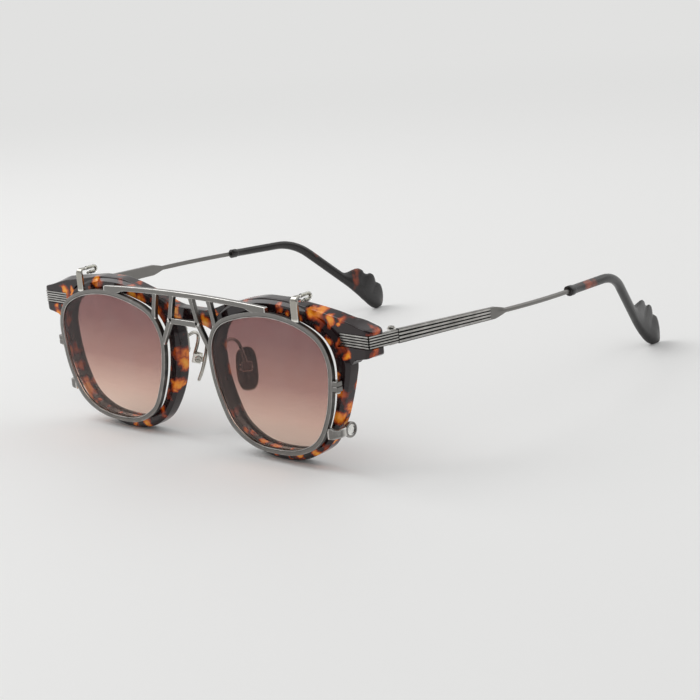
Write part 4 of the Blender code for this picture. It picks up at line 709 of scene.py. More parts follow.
def outline_loops(curve, steps, count=220):
    """A profile carried round a closed curve: each (offset, Y) step grows the curve along its normals.

    Nothing of it goes below the table.
    """
    ring = np.vstack([curve, curve[:1]])
    run = np.concatenate([[0.0], np.cumsum(np.linalg.norm(np.diff(ring, axis=0), axis=1))])
    marks = np.linspace(0.0, run[-1], count, endpoint=False)
    points = np.stack([np.interp(marks, run, ring[:, k]) for k in (0, 1)], axis=1)
    along = np.roll(points, -1, axis=0) - np.roll(points, 1, axis=0)
    normals = np.stack([along[:, 1], -along[:, 0]], axis=1) / np.linalg.norm(along, axis=1)[:, None]
    steps = np.asarray(steps, float)
    grown = points + normals * steps[:, 0, None, None]
    y = np.broadcast_to(steps[:, 1:2], grown.shape[:2])
    return np.stack([LENS_X + grown[..., 0], y, np.maximum(LENS_Z + grown[..., 1], 0.0)], axis=-1)


def ring_height(curve, offset, x):
    """How high the upper side of a grown curve round the lens is at x."""
    ring = outline_loops(curve, [(offset, 0.0)], 352)[0]
    upper = ring[ring[:, 2] > LENS_Z]
    upper = upper[np.argsort(upper[:, 0])]
    return np.interp(x, upper[:, 0], upper[:, 2])


def ring_side(curve, offset, z, way=1.0):
    """How far out the outer side of a grown curve is at height z, or the nose side for way -1."""
    ring = outline_loops(curve, [(offset, 0.0)], 352)[0]
    outer = ring[(ring[:, 0] - LENS_X) * way > 0]
    outer = outer[np.argsort(outer[:, 2])]
    return np.interp(z, outer[:, 2], outer[:, 0])


def carried(profile, path, out, up):
    """Loops of a profile carried along a path: each point is path + a out + b up, with (a, b) its profile's.

    The profile is one for the whole path or one for each of its points, and so are out and up.
    """
    profile = np.asarray(profile, float)
    out, up = (np.broadcast_to(v, path.shape)[:, None] for v in (out, up))
    return path[:, None] + profile[..., :1] * out + profile[..., 1:] * up


def rounded_box(low_a, high_a, low_b, high_b, front, back, steps=6):
    """A rectangle from low to high in a and b, its low-a corners rounded by front, the others by back.

    Each value is a number or one for each place along a path. Each side has three points of its own,
    so that wear stays near the edges.
    """
    values = (np.atleast_1d(v).astype(float) for v in (low_a, high_a, low_b, high_b, front, back))
    low_a, high_a, low_b, high_b, front, back = (v[:, None] for v in np.broadcast_arrays(*values))
    c, s = quarter(steps)
    corners = (
        (high_a - back + back * c, high_b - back + back * s),
        (low_a + front - front * s, high_b - front + front * c),
        (low_a + front - front * c, low_b + front - front * s),
        (high_a - back + back * s, low_b + back - back * c),
    )
    arcs = np.stack([np.stack(corner, axis=-1) for corner in corners], axis=1)
    ends, starts = arcs[:, :, -1:], np.roll(arcs[:, :, :1], -1, axis=1)
    flats = ends + (starts - ends) * np.array((0.16, 0.5, 0.84))[:, None]
    return np.concatenate([arcs, flats], axis=2).reshape(len(arcs), -1, 2)


def circle(radius, sides=24):
    """A circle's points, or one circle for each of several radii."""
    turn = np.arange(sides) * 2 * math.pi / sides
    return np.atleast_1d(radius)[:, None, None] * np.stack([np.cos(turn), np.sin(turn)], axis=-1)[None]


def wire_loops(path, radius, steady, sides=20):
    """Circles square to a path, their first direction held as near as can be to a steady one."""
    path, way = np.asarray(path, float), directions(path)
    out = np.cross(way, steady)
    out /= np.linalg.norm(out, axis=1)[:, None]
    return carried(circle(radius, sides), path, out, np.cross(out, way))


ANY_WAY = (0.31, 0.42, 0.85)  # along no axis of the part


def turned_loops(profile, centre, axis, sides=32):
    """A turned piece: a profile of (radius, height) carried round an axis through the centre."""
    axis = unit(axis)
    first = unit(np.cross(axis, ANY_WAY))
    profile = np.asarray(profile, float)
    path = np.asarray(centre) + profile[:, 1:] * axis
    return carried(circle(profile[:, 0], sides), path, first, np.cross(axis, first))


def arm_fall(y):
    """How much lower the end pieces, end blocks and temples run at a distance behind the corner."""
    return SLOPE * np.maximum(np.asarray(y) - PLATE_THICKNESS, 0.0)


def temple_line(back):
    """Middle of the temple at distances behind the hinge: straight along the arm, then bowed in.

    Along the taper and the wire the drift out is S t - (S + T) t^2 / 2w, with S the splay, T the
    toe-in of the tip and w the length.
    """
    back = np.asarray(back, float)
    arm, wire = ARM_LENGTH + ARM_BORDER, ARM_TAPER + WIRE_LENGTH
    past = np.maximum(0.0, back - arm)
    bowed = np.minimum(past, wire)
    drift = SPLAY * bowed - (SPLAY + SLEEVE_TOE_IN) * bowed**2 / (2 * wire) - SLEEVE_TOE_IN * (past - bowed)
    x = HINGE_X + KNUCKLE_RADIUS + KNUCKLE_CLEARANCE + PLATE_THICKNESS + SPLAY * np.minimum(back, arm) + drift
    return np.stack([x, HINGE_SETBACK + back, HINGE_Z - SLOPE * back], axis=-1)


# Brow and end blocks seen from the front: how far out, top, bottom and back, in millimetres
BROW_ROWS = np.array((
    (0.0, 42.4, 37.9, 3.4), (4.95, 42.47, 37.45, 3.4), (8.8, 43.16, 36.33, 3.4), (13.75, 44.9, 39.93, 3.4),
    (19.99, 46.64, 43.64, 3.4), (26.01, 48.17, 45.17, 3.4), (33.01, 49.25, 46.25, 3.4),
    (40.0, 49.25, 46.25, 3.4), (47.51, 48.45, 45.45, 3.4), (54.0, 47.7, 44.7, 3.4),
    (59.99, 46.8, 38.06, 3.4), (64.3, 45.55, 32.54, 4.1), (65.42, 45.15, 33.72, 5.08),
    (67.1, 44.5, 34.29, 5.92), (69.9, 43.6, 34.82, 6.2), (72.0, 43.0, 35.3, 6.2),
)) * MM
# How much lower the front edge of the brow's top is than its back edge, by how far out
BROW_TILT = np.array((
    (0.0, 0.0), (40.0, 0.2), (47.0, 0.5), (52.0, 0.8), (57.0, 1.0), (62.0, 0.95), (66.6, 0.6), (70.0, 0.3),
    (72.0, 0.2),
)) * MM
BROW_EDGE = 0.00035
BROW_EDGE_GAIN = 0.0004  # how much rounder the front edges get over the last of the end block
BROW_EDGE_RUN = 0.0015
BACK_EDGE = 0.0005
NOSE_ROUND = 0.0021
NOSE_BACK = 0.0012
NOSE_LID = 0.0005  # how far top and bottom close in at the nose
NOSE_LID_RUN = 0.0016


def brow_shell():
    """Bridge, brow and end blocks: a rounded box carried along X.

    Its top, bottom and back follow smooth lines through the rows, and its top leans forward by the
    tilt. Over the last r of its way the front goes back by r - sqrt(r^2 - t^2), a quarter circle
    seen from above, and so does the back, while top and bottom close in a little: a rounded nose.
    """
    end = BROW_ROWS[-1, 0]
    nose = end - NOSE_ROUND + NOSE_ROUND * quarter(14, last=86)[1]
    x = np.concatenate([np.arange(0.0, end - NOSE_ROUND, 0.5 * MM), nose])
    top, bottom, back = (smooth_through(BROW_ROWS[:, 0], BROW_ROWS[:, k], x) for k in (1, 2, 3))
    tilt = np.interp(x, BROW_TILT[:, 0], BROW_TILT[:, 1])
    drawn = [r - np.sqrt(r**2 - np.clip(x - end + r, 0.0, r * 0.998) ** 2) for r in (NOSE_ROUND, NOSE_BACK)]
    lid = NOSE_LID * np.clip((x - end + NOSE_LID_RUN) / NOSE_LID_RUN, 0.0, 1.0) ** 2
    edge = BROW_EDGE + BROW_EDGE_GAIN * np.clip((x - end + BROW_EDGE_RUN) / BROW_EDGE_RUN, 0.0, 1.0)
    section = rounded_box(BAR_FRONT + drawn[0], back - drawn[1], bottom + lid, top - lid, edge, BACK_EDGE)
    y, z = section[..., 0], section[..., 1]
    depth = np.clip((y - BAR_FRONT) / (back - BACK_EDGE - BAR_FRONT)[:, None], 0.0, 1.0)
    high = np.clip((z - bottom[:, None]) / (top - bottom)[:, None], 0.0, 1.0)
    lean = ((back - BAR_BACK) / (END_DEPTH - BAR_BACK))[:, None]
    z = z - lean * arm_fall(y) - tilt[:, None] * (1 - depth) * high**2
    half = np.stack([np.broadcast_to(x[:, None], y.shape), y, z], axis=-1)
    return skin(np.concatenate([(half * (-1.0, 1.0, 1.0))[:0:-1], half]))


def rim_shell():
    """One acetate rim, not yet opened: the rim curve grown by a profile over its depth.

    The profile is the chamfer in front with eased edges, the plain wall and a quarter round behind.
    """
    soft = 0.12 * MM
    c, s = quarter(6)
    steps = [(-RIM_CHAMFER - soft, RIM_FRONT), (-RIM_CHAMFER + soft, RIM_FRONT + soft * 0.8)]
    steps += [(-soft, RIM_FRONT + RIM_CHAMFER - soft), (0.0, RIM_FRONT + RIM_CHAMFER + soft)]
    steps += list(zip(RIM_BACK_ROUND * (c - 1), RIM_BACK - RIM_BACK_ROUND * (1 - s)))
    return skin(outline_loops(RIM_CURVE, steps))


def opening_shell():
    """What is cut from a rim: the lens curve with eased edges and the groove for the lens."""
    groove_back = GROOVE_FRONT + LENS_THICKNESS + 2 * FIT
    deep = LENS_INSERTION + FIT
    c, s = quarter(5)
    steps = [(OPENING_EDGE, RIM_FRONT - OVERRUN)]
    steps += list(zip(OPENING_EDGE * (1 - s), RIM_FRONT + OPENING_EDGE * (1 - c)))
    steps += [(0.0, GROOVE_FRONT), (deep, GROOVE_FRONT), (deep, groove_back), (0.0, groove_back)]
    steps += list(zip(RIM_BACK_ROUND * (1 - c), RIM_BACK - RIM_BACK_ROUND * (1 - s)))
    steps += [(RIM_BACK_ROUND, RIM_BACK + OVERRUN)]
    return skin(outline_loops(LENS_CURVE, steps))


SLOT_GAP = 0.00008


def slot_shell():
    """The L-shaped slot in an end block for the metal end piece, which leaves it a hair's gap."""
    gap = SLOT_GAP
    inner = PLATE_THICKNESS + gap
    start = CORNER_X - PLATE_FRONT - gap
    out = CORNER_X + LIP_PROUD + OVERRUN
    behind = END_DEPTH + OVERRUN
    outline = np.array((
        (start, BAR_FRONT - OVERRUN), (out, BAR_FRONT - OVERRUN), (out, behind),
        (CORNER_X + behind * SPLAY - inner, behind), (CORNER_X + inner * SPLAY - inner, inner),
        (start, inner),
    ))
    z = np.array((-1.0, 1.0))[:, None] * (PLATE_HEIGHT / 2 + gap) + PLATE_Z - arm_fall(outline[:, 1])[None]
    flat = np.broadcast_to(outline[None], (2, 6, 2))
    return skin(np.concatenate([flat, z[..., None]], axis=-1))


def acetate_front():
    """The acetate front in one piece: brow and rims joined, then both openings and slots cut."""
    tools = [(make_mesh("rim", [rim_shell()], side), "UNION") for _, side in SIDES]
    for shell in (opening_shell(), slot_shell()):
        tools += [(make_mesh("cutter", [shell], side), "DIFFERENCE") for _, side in SIDES]
    mesh = cut_mesh("acetate", make_mesh("brow", [brow_shell()]), tools)
    even_shading(add_piece("acetate_front", mesh, "front_frame", sharp=28.0))


def lens_shell(insertion, front, thickness, dome):
    """A lens: rings of its outline shrunk to its middle by s, each set forward by dome (1 - s^2)."""
    share = np.array((0.02, 0.15, 0.3, 0.45, 0.6, 0.75, 0.88, 1.0))[:, None, None]
    middle = np.array((LENS_X, front, LENS_Z))
    rings = middle + (outline_loops(LENS_CURVE, [(insertion, front)]) - middle) * share
    rings = rings - dome * (1 - share**2) * (0.0, 1.0, 0.0)
    return skin(np.concatenate([rings, rings[::-1] + (0.0, thickness, 0.0)]))


def lenses():
    """Clear lenses in the acetate and tinted lenses in the clip, both gently domed."""
    clear = lens_shell(LENS_INSERTION, GROOVE_FRONT + FIT, LENS_THICKNESS, LENS_DOME)
    add_pair("clear_domed_lens", "lens", [clear])
    inset = CLIP_GROOVE - CLIP_INSET - FIT
    tinted = lens_shell(inset, CLIP_GROOVE_FRONT + FIT / 2, CLIP_LENS_THICKNESS, LENS_DOME / 3)
    add_pair("tinted_domed_lens", "clip_lens", [tinted])


def clip_rim_shell():
    """One clip rim and its wear-and-shade values: a profile in (offset, Y, wear and shade) carried
    round the lens curve.

    In front it has an inner lip brightened as rubbed wear and painted highlight, a fine turned line
    with painted shade in it and a wider band with eased edges, inside the groove for the lens, and
    its walls are painted darker, as painted shade.
    """
    groove_back = CLIP_GROOVE_FRONT + CLIP_LENS_THICKNESS + FIT
    inner, outer = -CLIP_INSET, CLIP_RIM
    ease, line, deep = 0.18 * MM, 0.3 * MM, 0.08 * MM  # edges, the turned line's place and its depth
    front, back = CLIP_FRONT, CLIP_BACK
    # Third column: below 0 is painted shade on the walls, in the groove and in the turned line; above 0 on
    # the eased edges and the inner lip is rubbed wear and painted highlight
    steps = np.array((
        (outer, front + ease, -0.15), (outer - ease * 0.3, front + ease * 0.3, 0.12),
        (outer - ease, front, 0.05),
        (inner + line + 0.16 * MM, front, 0.0), (inner + line + 0.12 * MM, front + deep, -0.16),
        (inner + line + 0.04 * MM, front + deep, -0.16), (inner + line, front, 0.06),
        (inner + ease, front, 0.14), (inner + ease * 0.3, front + ease * 0.3, 0.1),
        (inner, front + ease, -0.15),
        (inner, CLIP_GROOVE_FRONT, -0.15), (inner + CLIP_GROOVE, CLIP_GROOVE_FRONT, -0.15),
        (inner + CLIP_GROOVE, groove_back, -0.15), (inner, groove_back, -0.15),
        (inner, back - ease, -0.1), (inner + ease * 0.3, back - ease * 0.3, 0.1),
        (inner + ease, back, 0.0), (outer - ease, back, 0.0),
        (outer - ease * 0.3, back - ease * 0.3, 0.1), (outer, back - ease, -0.15),
    ))
    loops = outline_loops(LENS_CURVE, steps[:, :2])
    return skin(loops, around=True), np.repeat(steps[:, 2], loops.shape[1])


def flat_strip(start, end, width, front, back, flare, steps=11):
    """A flat strip in the clip's plane between two points given as X and Z.

    Its half width grows from its middle to its ends by 1 + flare |2t - 1|^3, as brazed strips do,
    and its four long edges are eased.
    """
    start, end = np.asarray(start, float), np.asarray(end, float)
    way = unit(end - start)
    t = np.linspace(0.0, 1.0, steps)
    middle = start + (end - start) * t[:, None]
    half = width / 2 * (1 + flare * np.abs(2 * t - 1) ** 3)
    section = rounded_box(front, back, -half, half, 0.22 * MM, 0.15 * MM, steps=4)
    path = np.stack([middle[:, 0], 0 * t, middle[:, 1]], axis=1)
    return skin(carried(section, path, (0.0, 1.0, 0.0), (-way[1], 0.0, way[0])))


def top_bar_shell():
    """The bar over both clip rims: a rounded box whose top falls with the square of the way out.

    Past the struts its underside goes down to the rim, where it ends as a step.
    """
    share = np.linspace(-1.0, 1.0, 121)
    x = share * CLIP_BAR_REACH
    top = CLIP_TOP + CLIP_BAR_RISE - CLIP_BAR_FALL * share**2
    bottom = top - CLIP_BAR_HEIGHT
    blend = np.clip((np.abs(share) - CLIP_STEP_SHARE + 0.04) / 0.1, 0.0, 1.0)
    rim = ring_height(LENS_CURVE, CLIP_RIM / 2, np.abs(x))
    bottom = np.where(blend > 0, np.minimum(bottom, bottom * (1 - blend) + rim * blend), bottom)
    top = top - 0.2 * MM * (np.abs(share) > 0.985)
    front, back = CLIP_FRONT + CLIP_BAR_SETBACK / 2, CLIP_BACK - CLIP_BAR_SETBACK / 2
    section = rounded_box(front, back, bottom, top, 0.3 * MM, 0.2 * MM, steps=4)
    path = np.stack([x, 0 * x, 0 * x], axis=1)
    return skin(carried(section, path, (0.0, 1.0, 0.0), UP))


def closing_block_shells():
    """The closing block of a clip rim in two halves with a hair's cut between them."""
    z = LENS_Z + CLOSING_BLOCK_SHARE * LENS_HEIGHT / 2
    half, cut, soft = CLOSING_BLOCK_HEIGHT / 2, 0.03 * MM, 0.12 * MM
    inner = ring_side(LENS_CURVE, CLIP_RIM / 2, z)
    outer = ring_side(LENS_CURVE, CLIP_RIM, z) + CLOSING_BLOCK_REACH
    front = CLIP_FRONT + CLIP_BAR_SETBACK
    draw = np.array((soft, 0.0, 0.0, soft))
    deep = front + CLOSING_BLOCK_DEPTH
    section = rounded_box(inner, outer - draw, front + draw, deep - draw, 0.1 * MM, 0.35 * MM)
    paths = [(z + eased_run(low, high, soft)) * UP for low, high in ((-half, -cut), (cut, half))]
    return [skin(carried(section, path, (1.0, 0.0, 0.0), (0.0, 1.0, 0.0))) for path in paths]


BLOCK_WEAR = 0.04  # the closing blocks are rubbed evenly


def clip_front():
    """The clip's metal front: rims, bars, struts, legs and closing blocks, brazed together."""
    front, back = CLIP_FRONT + CLIP_BAR_SETBACK, CLIP_BACK - CLIP_BAR_SETBACK
    top = CLIP_TOP + CLIP_BAR_RISE - CLIP_BAR_HEIGHT / 2
    low = CLIP_TOP + CLIP_BAR_RISE - CLIP_BAR_HEIGHT - CLIP_LOWER_BAR_DROP - CLIP_LOWER_BAR_HEIGHT
    lower = low + CLIP_LOWER_BAR_HEIGHT / 2 - STRUT_WIDTH / 2
    leg_foot = LENS_X - LENS_WIDTH / 2 - CLIP_RIM / 2, LENS_Z + LEG_FOOT_SHARE * LENS_HEIGHT / 2
    outer_foot = (OUTER_STRUT_FOOT, ring_height(LENS_CURVE, CLIP_RIM / 3, OUTER_STRUT_FOOT))
    rim, rim_wear_and_shade = clip_rim_shell()
    blocks = closing_block_shells()
    knee = (INNER_STRUT_FOOT, lower)
    strips = (
        ((INNER_STRUT_TOP, top), knee, 0.35), (knee, leg_foot, 0.0),
        ((OUTER_STRUT_TOP, top), outer_foot, 0.35),
    )
    struts = [flat_strip(start, end, STRUT_WIDTH, front, back, flare) for start, end, flare in strips]
    half = [rim] + blocks + struts
    lower_bar = flat_strip((-INNER_STRUT_FOOT, lower), knee, CLIP_LOWER_BAR_HEIGHT, front, back, 0.12)
    bars = [top_bar_shell(), lower_bar]
    shells = half + [mirrored(shell) for shell in half] + bars
    half_wear_and_shade = np.concatenate([rim_wear_and_shade, unworn(blocks, BLOCK_WEAR), unworn(struts)])
    wear_and_shade = np.concatenate([half_wear_and_shade, half_wear_and_shade, unworn(bars)])
    mesh = make_mesh("clip_metal_front", shells)
    even_shading(add_piece("clip_metal_front", mesh, "clip_front", sharp=35.0, wear_and_shade=wear_and_shade))


def ribbed_section(height, ridges, depth, per_ridge=12):
    """Outward and upward places of a plate's section and their wear-and-shade values: rounded ridges on
    a plain plate, with painted shade in the grooves and painted highlight on the crests.

    With g how near a place is to a groove, 1 in it and 0 on a crest's middle, the face goes in by
    depth times a smooth step of g from 0.5 to 0.85, so each ridge has a flat crest and soft shoulders.
    """
    u = (np.arange(ridges * per_ridge + 1) / per_ridge) % 1.0
    near = np.abs(2 * u - 1)
    near[0] = near[-1] = 0.6
    t = np.clip((near - 0.5) / 0.35, 0.0, 1.0)
    step = t * t * (3 - 2 * t)
    up = np.linspace(-height / 2, height / 2, len(u))
    shown = min(1.0, depth / RIDGE_DEPTH)
    # The third column is painted light: painted shade in the grooves and painted highlight on the crests, as
    # much as the ridges are deep
    face = np.stack([-depth * step, up, shown * (0.11 - 0.42 * step)], axis=1)
    soft, thick = 0.15 * MM, PLATE_THICKNESS
    face[0, 1] += soft * 0.6
    face[-1, 1] -= soft * 0.6
    rest = [(-soft, height / 2, 0.1), (soft - thick, height / 2, 0.0), (-thick, height / 2 - soft, 0.0)]
    rest += [(-thick, soft - height / 2, 0.0), (soft - thick, -height / 2, 0.0), (-soft, -height / 2, 0.0)]
    return np.concatenate([face, np.array(rest)])


METAL_SHARP = 38.0  # degrees past which a ribbed piece's edge stays hard


def end_plate_shell():
    """The ribbed plate and its wear-and-shade values: along the front, round the mitred corner, back to the
    hinge.
    """
    full = ribbed_section(PLATE_HEIGHT, END_RIDGES, RIDGE_DEPTH)
    outside = full[:, :1] > -PLATE_THICKNESS / 2
    # The notch at the mitred corner is painted 0.3 darker: painted shade in the notch
    notched = full - np.where(outside, (CORNER_NOTCH, 0.0, 0.3), 0.0)
    seam = HINGE_SETBACK - HINGE_GAP / 2
    lean = 1 - CORNER_NOTCH / PLATE_THICKNESS
    path = np.array((
        (CORNER_X - PLATE_FRONT, 0.0, PLATE_Z), (CORNER_X - CORNER_NOTCH, 0.0, PLATE_Z),
        (CORNER_X, 0.0, PLATE_Z), (CORNER_X, CORNER_NOTCH, PLATE_Z),
        (CORNER_X + seam * SPLAY, seam, PLATE_Z - arm_fall(seam)),
    ))
    out = np.array((
        (0.0, -1.0, 0.0), (lean, -1.0, 0.0), (1.0, -1.0, 0.0), (1.0, -lean, 0.0), (1.0, 0.0, 0.0),
    ))
    sections = np.stack([full, full, notched, full, full])
    return skin(carried(sections[..., :2], path, out, UP)), sections[..., 2].ravel()


def knuckle_shell(low, high, way):
    """A hinge knuckle and its root on the plate, both ends of the barrel eased."""
    root_out = KNUCKLE_RADIUS + KNUCKLE_CLEARANCE + PLATE_THICKNESS / 2
    near, far = way * (HINGE_GAP / 2 + EDGE), way * KNUCKLE_REACH
    turn = np.radians(np.linspace(-20, 230, 28)) * -way
    soft = 0.1 * MM
    radius = KNUCKLE_RADIUS - np.array((soft, 0.0, 0.0, soft))
    arc = radius[:, None, None] * np.stack([np.cos(turn), np.sin(turn)], axis=1)[None]
    root = np.broadcast_to(np.array(((root_out + far * SPLAY, far), (root_out, near))), (4, 2, 2))
    path = HINGE + eased_run(low, high, soft) * UP
    return skin(carried(np.concatenate([root, arc], axis=1), path, (1.0, 0.0, 0.0), (0.0, 1.0, 0.0)))


def end_pieces():
    """Both metal end pieces: the ribbed plate and the outer two knuckles of the hinge."""
    half = MIDDLE_KNUCKLE_HEIGHT / 2 + FIT / 2
    plate, wear_and_shade = end_plate_shell()
    knuckles = [knuckle_shell(half, BARREL_HEIGHT / 2, -1), knuckle_shell(-BARREL_HEIGHT / 2, -half, -1)]
    wear_and_shade = np.concatenate([wear_and_shade, unworn(knuckles)])
    add_pair("ribbed_end_piece", "end_piece", [plate] + knuckles, METAL_SHARP, wear_and_shade)


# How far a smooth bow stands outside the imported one, whose bow has fewer steps
CHORD_SLACK = 0.00002


def temple_shell():
    """Ribbed arm, plain border, taper and wire core as one run of sections, with their wear-and-shade
    values: painted shade in the ribs' grooves and painted highlight on their crests.

    Along the taper the flat section turns into the wire's circle, each point going straight.
    """
    arm = ARM_LENGTH + ARM_BORDER
    plain = (ARM_END_HEIGHT, 0.0)
    places = (ARM_HEIGHT, RIDGE_DEPTH), (ARM_END_HEIGHT, RIDGE_DEPTH), plain, plain
    ribbed = np.stack([ribbed_section(height, ARM_RIDGES, depth) for height, depth in places])
    flat = ribbed[-1, :, :2]
    aim = np.arctan2(flat[:, 1], flat[:, 0] + PLATE_THICKNESS / 2)
    wire = WIRE_RADIUS * np.stack([np.cos(aim), np.sin(aim)], axis=1) - (PLATE_THICKNESS / 2, 0.0)
    share = np.linspace(0.08, 1.0, 14)
    blend = share[:, None, None] ** 1.15
    taper = flat * (1 - blend) + wire * blend
    reach = ARM_TAPER + WIRE_LENGTH + WIRE_INSERTION
    run = np.repeat(wire[None], 16, axis=0)
    back = np.concatenate([
        (HINGE_GAP / 2, ARM_LENGTH - 0.3 * MM, ARM_LENGTH, arm), arm + share * ARM_TAPER,
        arm + np.linspace(ARM_TAPER + 2 * MM, reach, len(run)),
    ])
    sections = np.concatenate([ribbed[..., :2], taper, run]) - (CHORD_SLACK, 0.0)
    wear_and_shade = np.concatenate([ribbed[..., 2].ravel(), np.zeros((len(taper) + len(run)) * len(flat))])
    return skin(carried(sections, temple_line(back), (1.0, 0.0, 0.0), UP)), wear_and_shade


def temples():
    """Both metal temples with their middle knuckles."""
    half = MIDDLE_KNUCKLE_HEIGHT / 2
    arm, wear_and_shade = temple_shell()
    knuckle = knuckle_shell(-half, half, 1)
    wear_and_shade = np.concatenate([wear_and_shade, unworn([knuckle])])
    add_pair("ribbed_temple", "temple", [arm, knuckle], METAL_SHARP, wear_and_shade)


def tip_line():
    """The tip's middle line, straight and then bent round the ear, and the paddle's three directions.

    The bend is (1 - s)^2 first + 2 s (1 - s) corner + s^2 last, for s from 0 to 1.
    """
    start = ARM_LENGTH + ARM_BORDER + ARM_TAPER + WIRE_LENGTH
    core = np.array((-PLATE_THICKNESS / 2, 0.0, 0.0))
    corner = temple_line(start + SLEEVE_RUN) + core
    before = unit(corner - (temple_line(start) + core))
    down = unit((-EAR_TUCK_SHARE, 1.0, -math.tan(EAR_DROP_ANGLE)))
    straight = temple_line(start + np.array(STRAIGHT_SHARES) * (SLEEVE_RUN - EAR_BEND_CUT)) + core
    first, last = corner - before * EAR_BEND_CUT, corner + down * EAR_BEND_CUT
    s = np.linspace(0.0, 1.0, 24)[:, None]
    bend = (1 - s) ** 2 * first + 2 * s * (1 - s) * corner + s**2 * last
    rear = np.cross(down, (1.0, 0.0, 0.0))
    rear /= math.copysign(np.linalg.norm(rear), rear[2])
    face = np.cross(rear, down)
    face *= math.copysign(1.0, face[0])
    return straight, bend, (down, rear, face)


def paddle_rows(start, ways):
    """The paddle's middle line and its sizes: half widths ahead and behind, half thicknesses of both.

    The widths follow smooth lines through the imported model's shares, the flare grows with the
    square of the way, and the last 15 in 100 get thinner.
    """
    down, rear, face = ways
    table = np.array(PADDLE_SHARES)
    along = np.concatenate([np.linspace(0.02, 0.95, 60), np.linspace(0.955, 0.99, 8)])
    behind, ahead = (smooth_through(table[:, 0], table[:, k], along) for k in (1, 2))
    swing = np.clip((along - FLARE_START_SHARE) / (1 - FLARE_START_SHARE), 0.0, 1.0)[:, None] ** 2
    middle = start + down * along[:, None] * PADDLE_LENGTH
    middle = middle + swing * (PADDLE_FLARE * face + PADDLE_LIFT * rear)
    flat = np.clip((behind - PADDLE_SHARES[0][1]) / FLAT_GAIN_SHARE, 0.0, 1.0)
    plate = STEM_HALF_THICKNESS + flat * (PADDLE_HALF_THICKNESS - STEM_HALF_THICKNESS)
    thin = 1.0 - 0.35 * np.clip((along - 0.85) / 0.15, 0.0, 1.0) ** 2
    short = np.maximum(0.0, 0.4 * MM - ahead * PADDLE_WIDTH)
    widths = ahead * PADDLE_WIDTH + short, behind * PADDLE_WIDTH - short
    return middle + rear * short[:, None], np.stack([*widths, thin * STEM_HALF_THICKNESS, thin * plate])


def tip_loops(run):
    """Sections of the tip from the collar round the ear to the end of the paddle, which runs so far.

    Each section is two half ellipses on one width: its depth is d sin(a), with d the stem's half
    thickness in front and the plate's behind.
    """
    straight, bend, ways = tip_line()
    down, rear, face = ways
    ring = SLEEVE_RADIUS + SLEEVE_COLLAR
    shares = np.array((0.0, 0.0, 0.03, 0.08, 0.5, 0.8, 0.88, 0.94, 1.0))[:, None]
    collar = np.array((0.55, 0.8, 0.93, 1.0, 1.0, 1.0, 0.97, 0.89, SLEEVE_RADIUS / ring)) * ring
    stem = np.vstack([straight[1:], bend])
    blend = np.linspace(0.0, 1.0, len(stem))
    stem_way = UP * (1 - blend[:, None]) + rear * blend[:, None]
    stem_way /= np.linalg.norm(stem_way, axis=1)[:, None]
    wide = SLEEVE_RADIUS + blend * (STEM_HALF_WIDTH - SLEEVE_RADIUS)
    thick = SLEEVE_RADIUS + blend * (STEM_HALF_THICKNESS - SLEEVE_RADIUS)
    paddle, paddle_sizes = paddle_rows(bend[-1] + down * run, ways)
    mouth = straight[0] + unit(straight[1] - straight[0]) * shares * COLLAR_LENGTH
    centre = np.concatenate([mouth, stem, paddle])
    out = np.concatenate([np.tile(UP, (len(collar), 1)), stem_way, np.tile(rear, (len(paddle), 1))])
    sizes = np.hstack([np.tile(collar, (4, 1)), np.stack([wide, wide, thick, thick]), paddle_sizes])
    ahead, behind, front, plate = sizes[..., None]
    turn = np.arange(36)[None] * 2 * math.pi / 36
    c, s = np.cos(turn), np.sin(turn)
    t = np.clip((c - 0.15) / 0.5, 0.0, 1.0)
    t = t * t * (3 - 2 * t)
    section = np.stack([c * np.where(c > 0, behind, ahead), s * (front * (1 - t) + plate * t)], axis=-1)
    return carried(section, centre, out, face), down


def tips():
    """Both acetate temple tips, run on until they stand on the table."""
    loops, down = tip_loops(0.0)
    run = loops[..., 2].min() / -down[2]
    add_pair("acetate_tip", "temple_tip", [skin(tip_loops(run)[0])], sharp=50.0)


def pad_axes():
    """A nose pad's own directions: towards the nose, back along the pad, and up."""
    level = np.array((-math.cos(PAD_TURN), math.sin(PAD_TURN), 0.0))
    along = np.array((math.sin(PAD_TURN), math.cos(PAD_TURN), 0.0))
    nose = level * math.cos(PAD_LEAN) - UP * math.sin(PAD_LEAN)
    return nose, along, UP * math.cos(PAD_LEAN) + level * math.sin(PAD_LEAN)


NOSE, ALONG, RISE = pad_axes()
PAD_SCREW = np.array((PAD_BOX_OUT, PAD_BOX_BACK, LENS_TOP - PAD_BOX_DROP))
BLOCK_Z = LENS_Z + CLOSING_BLOCK_SHARE * LENS_HEIGHT / 2
RIM_SCREW = np.array((
    ring_side(LENS_CURVE, CLIP_RIM, BLOCK_Z) + CLOSING_BLOCK_REACH / 2,
    CLIP_FRONT + CLIP_BAR_SETBACK + CLOSING_BLOCK_DEPTH / 2, BLOCK_Z,
))


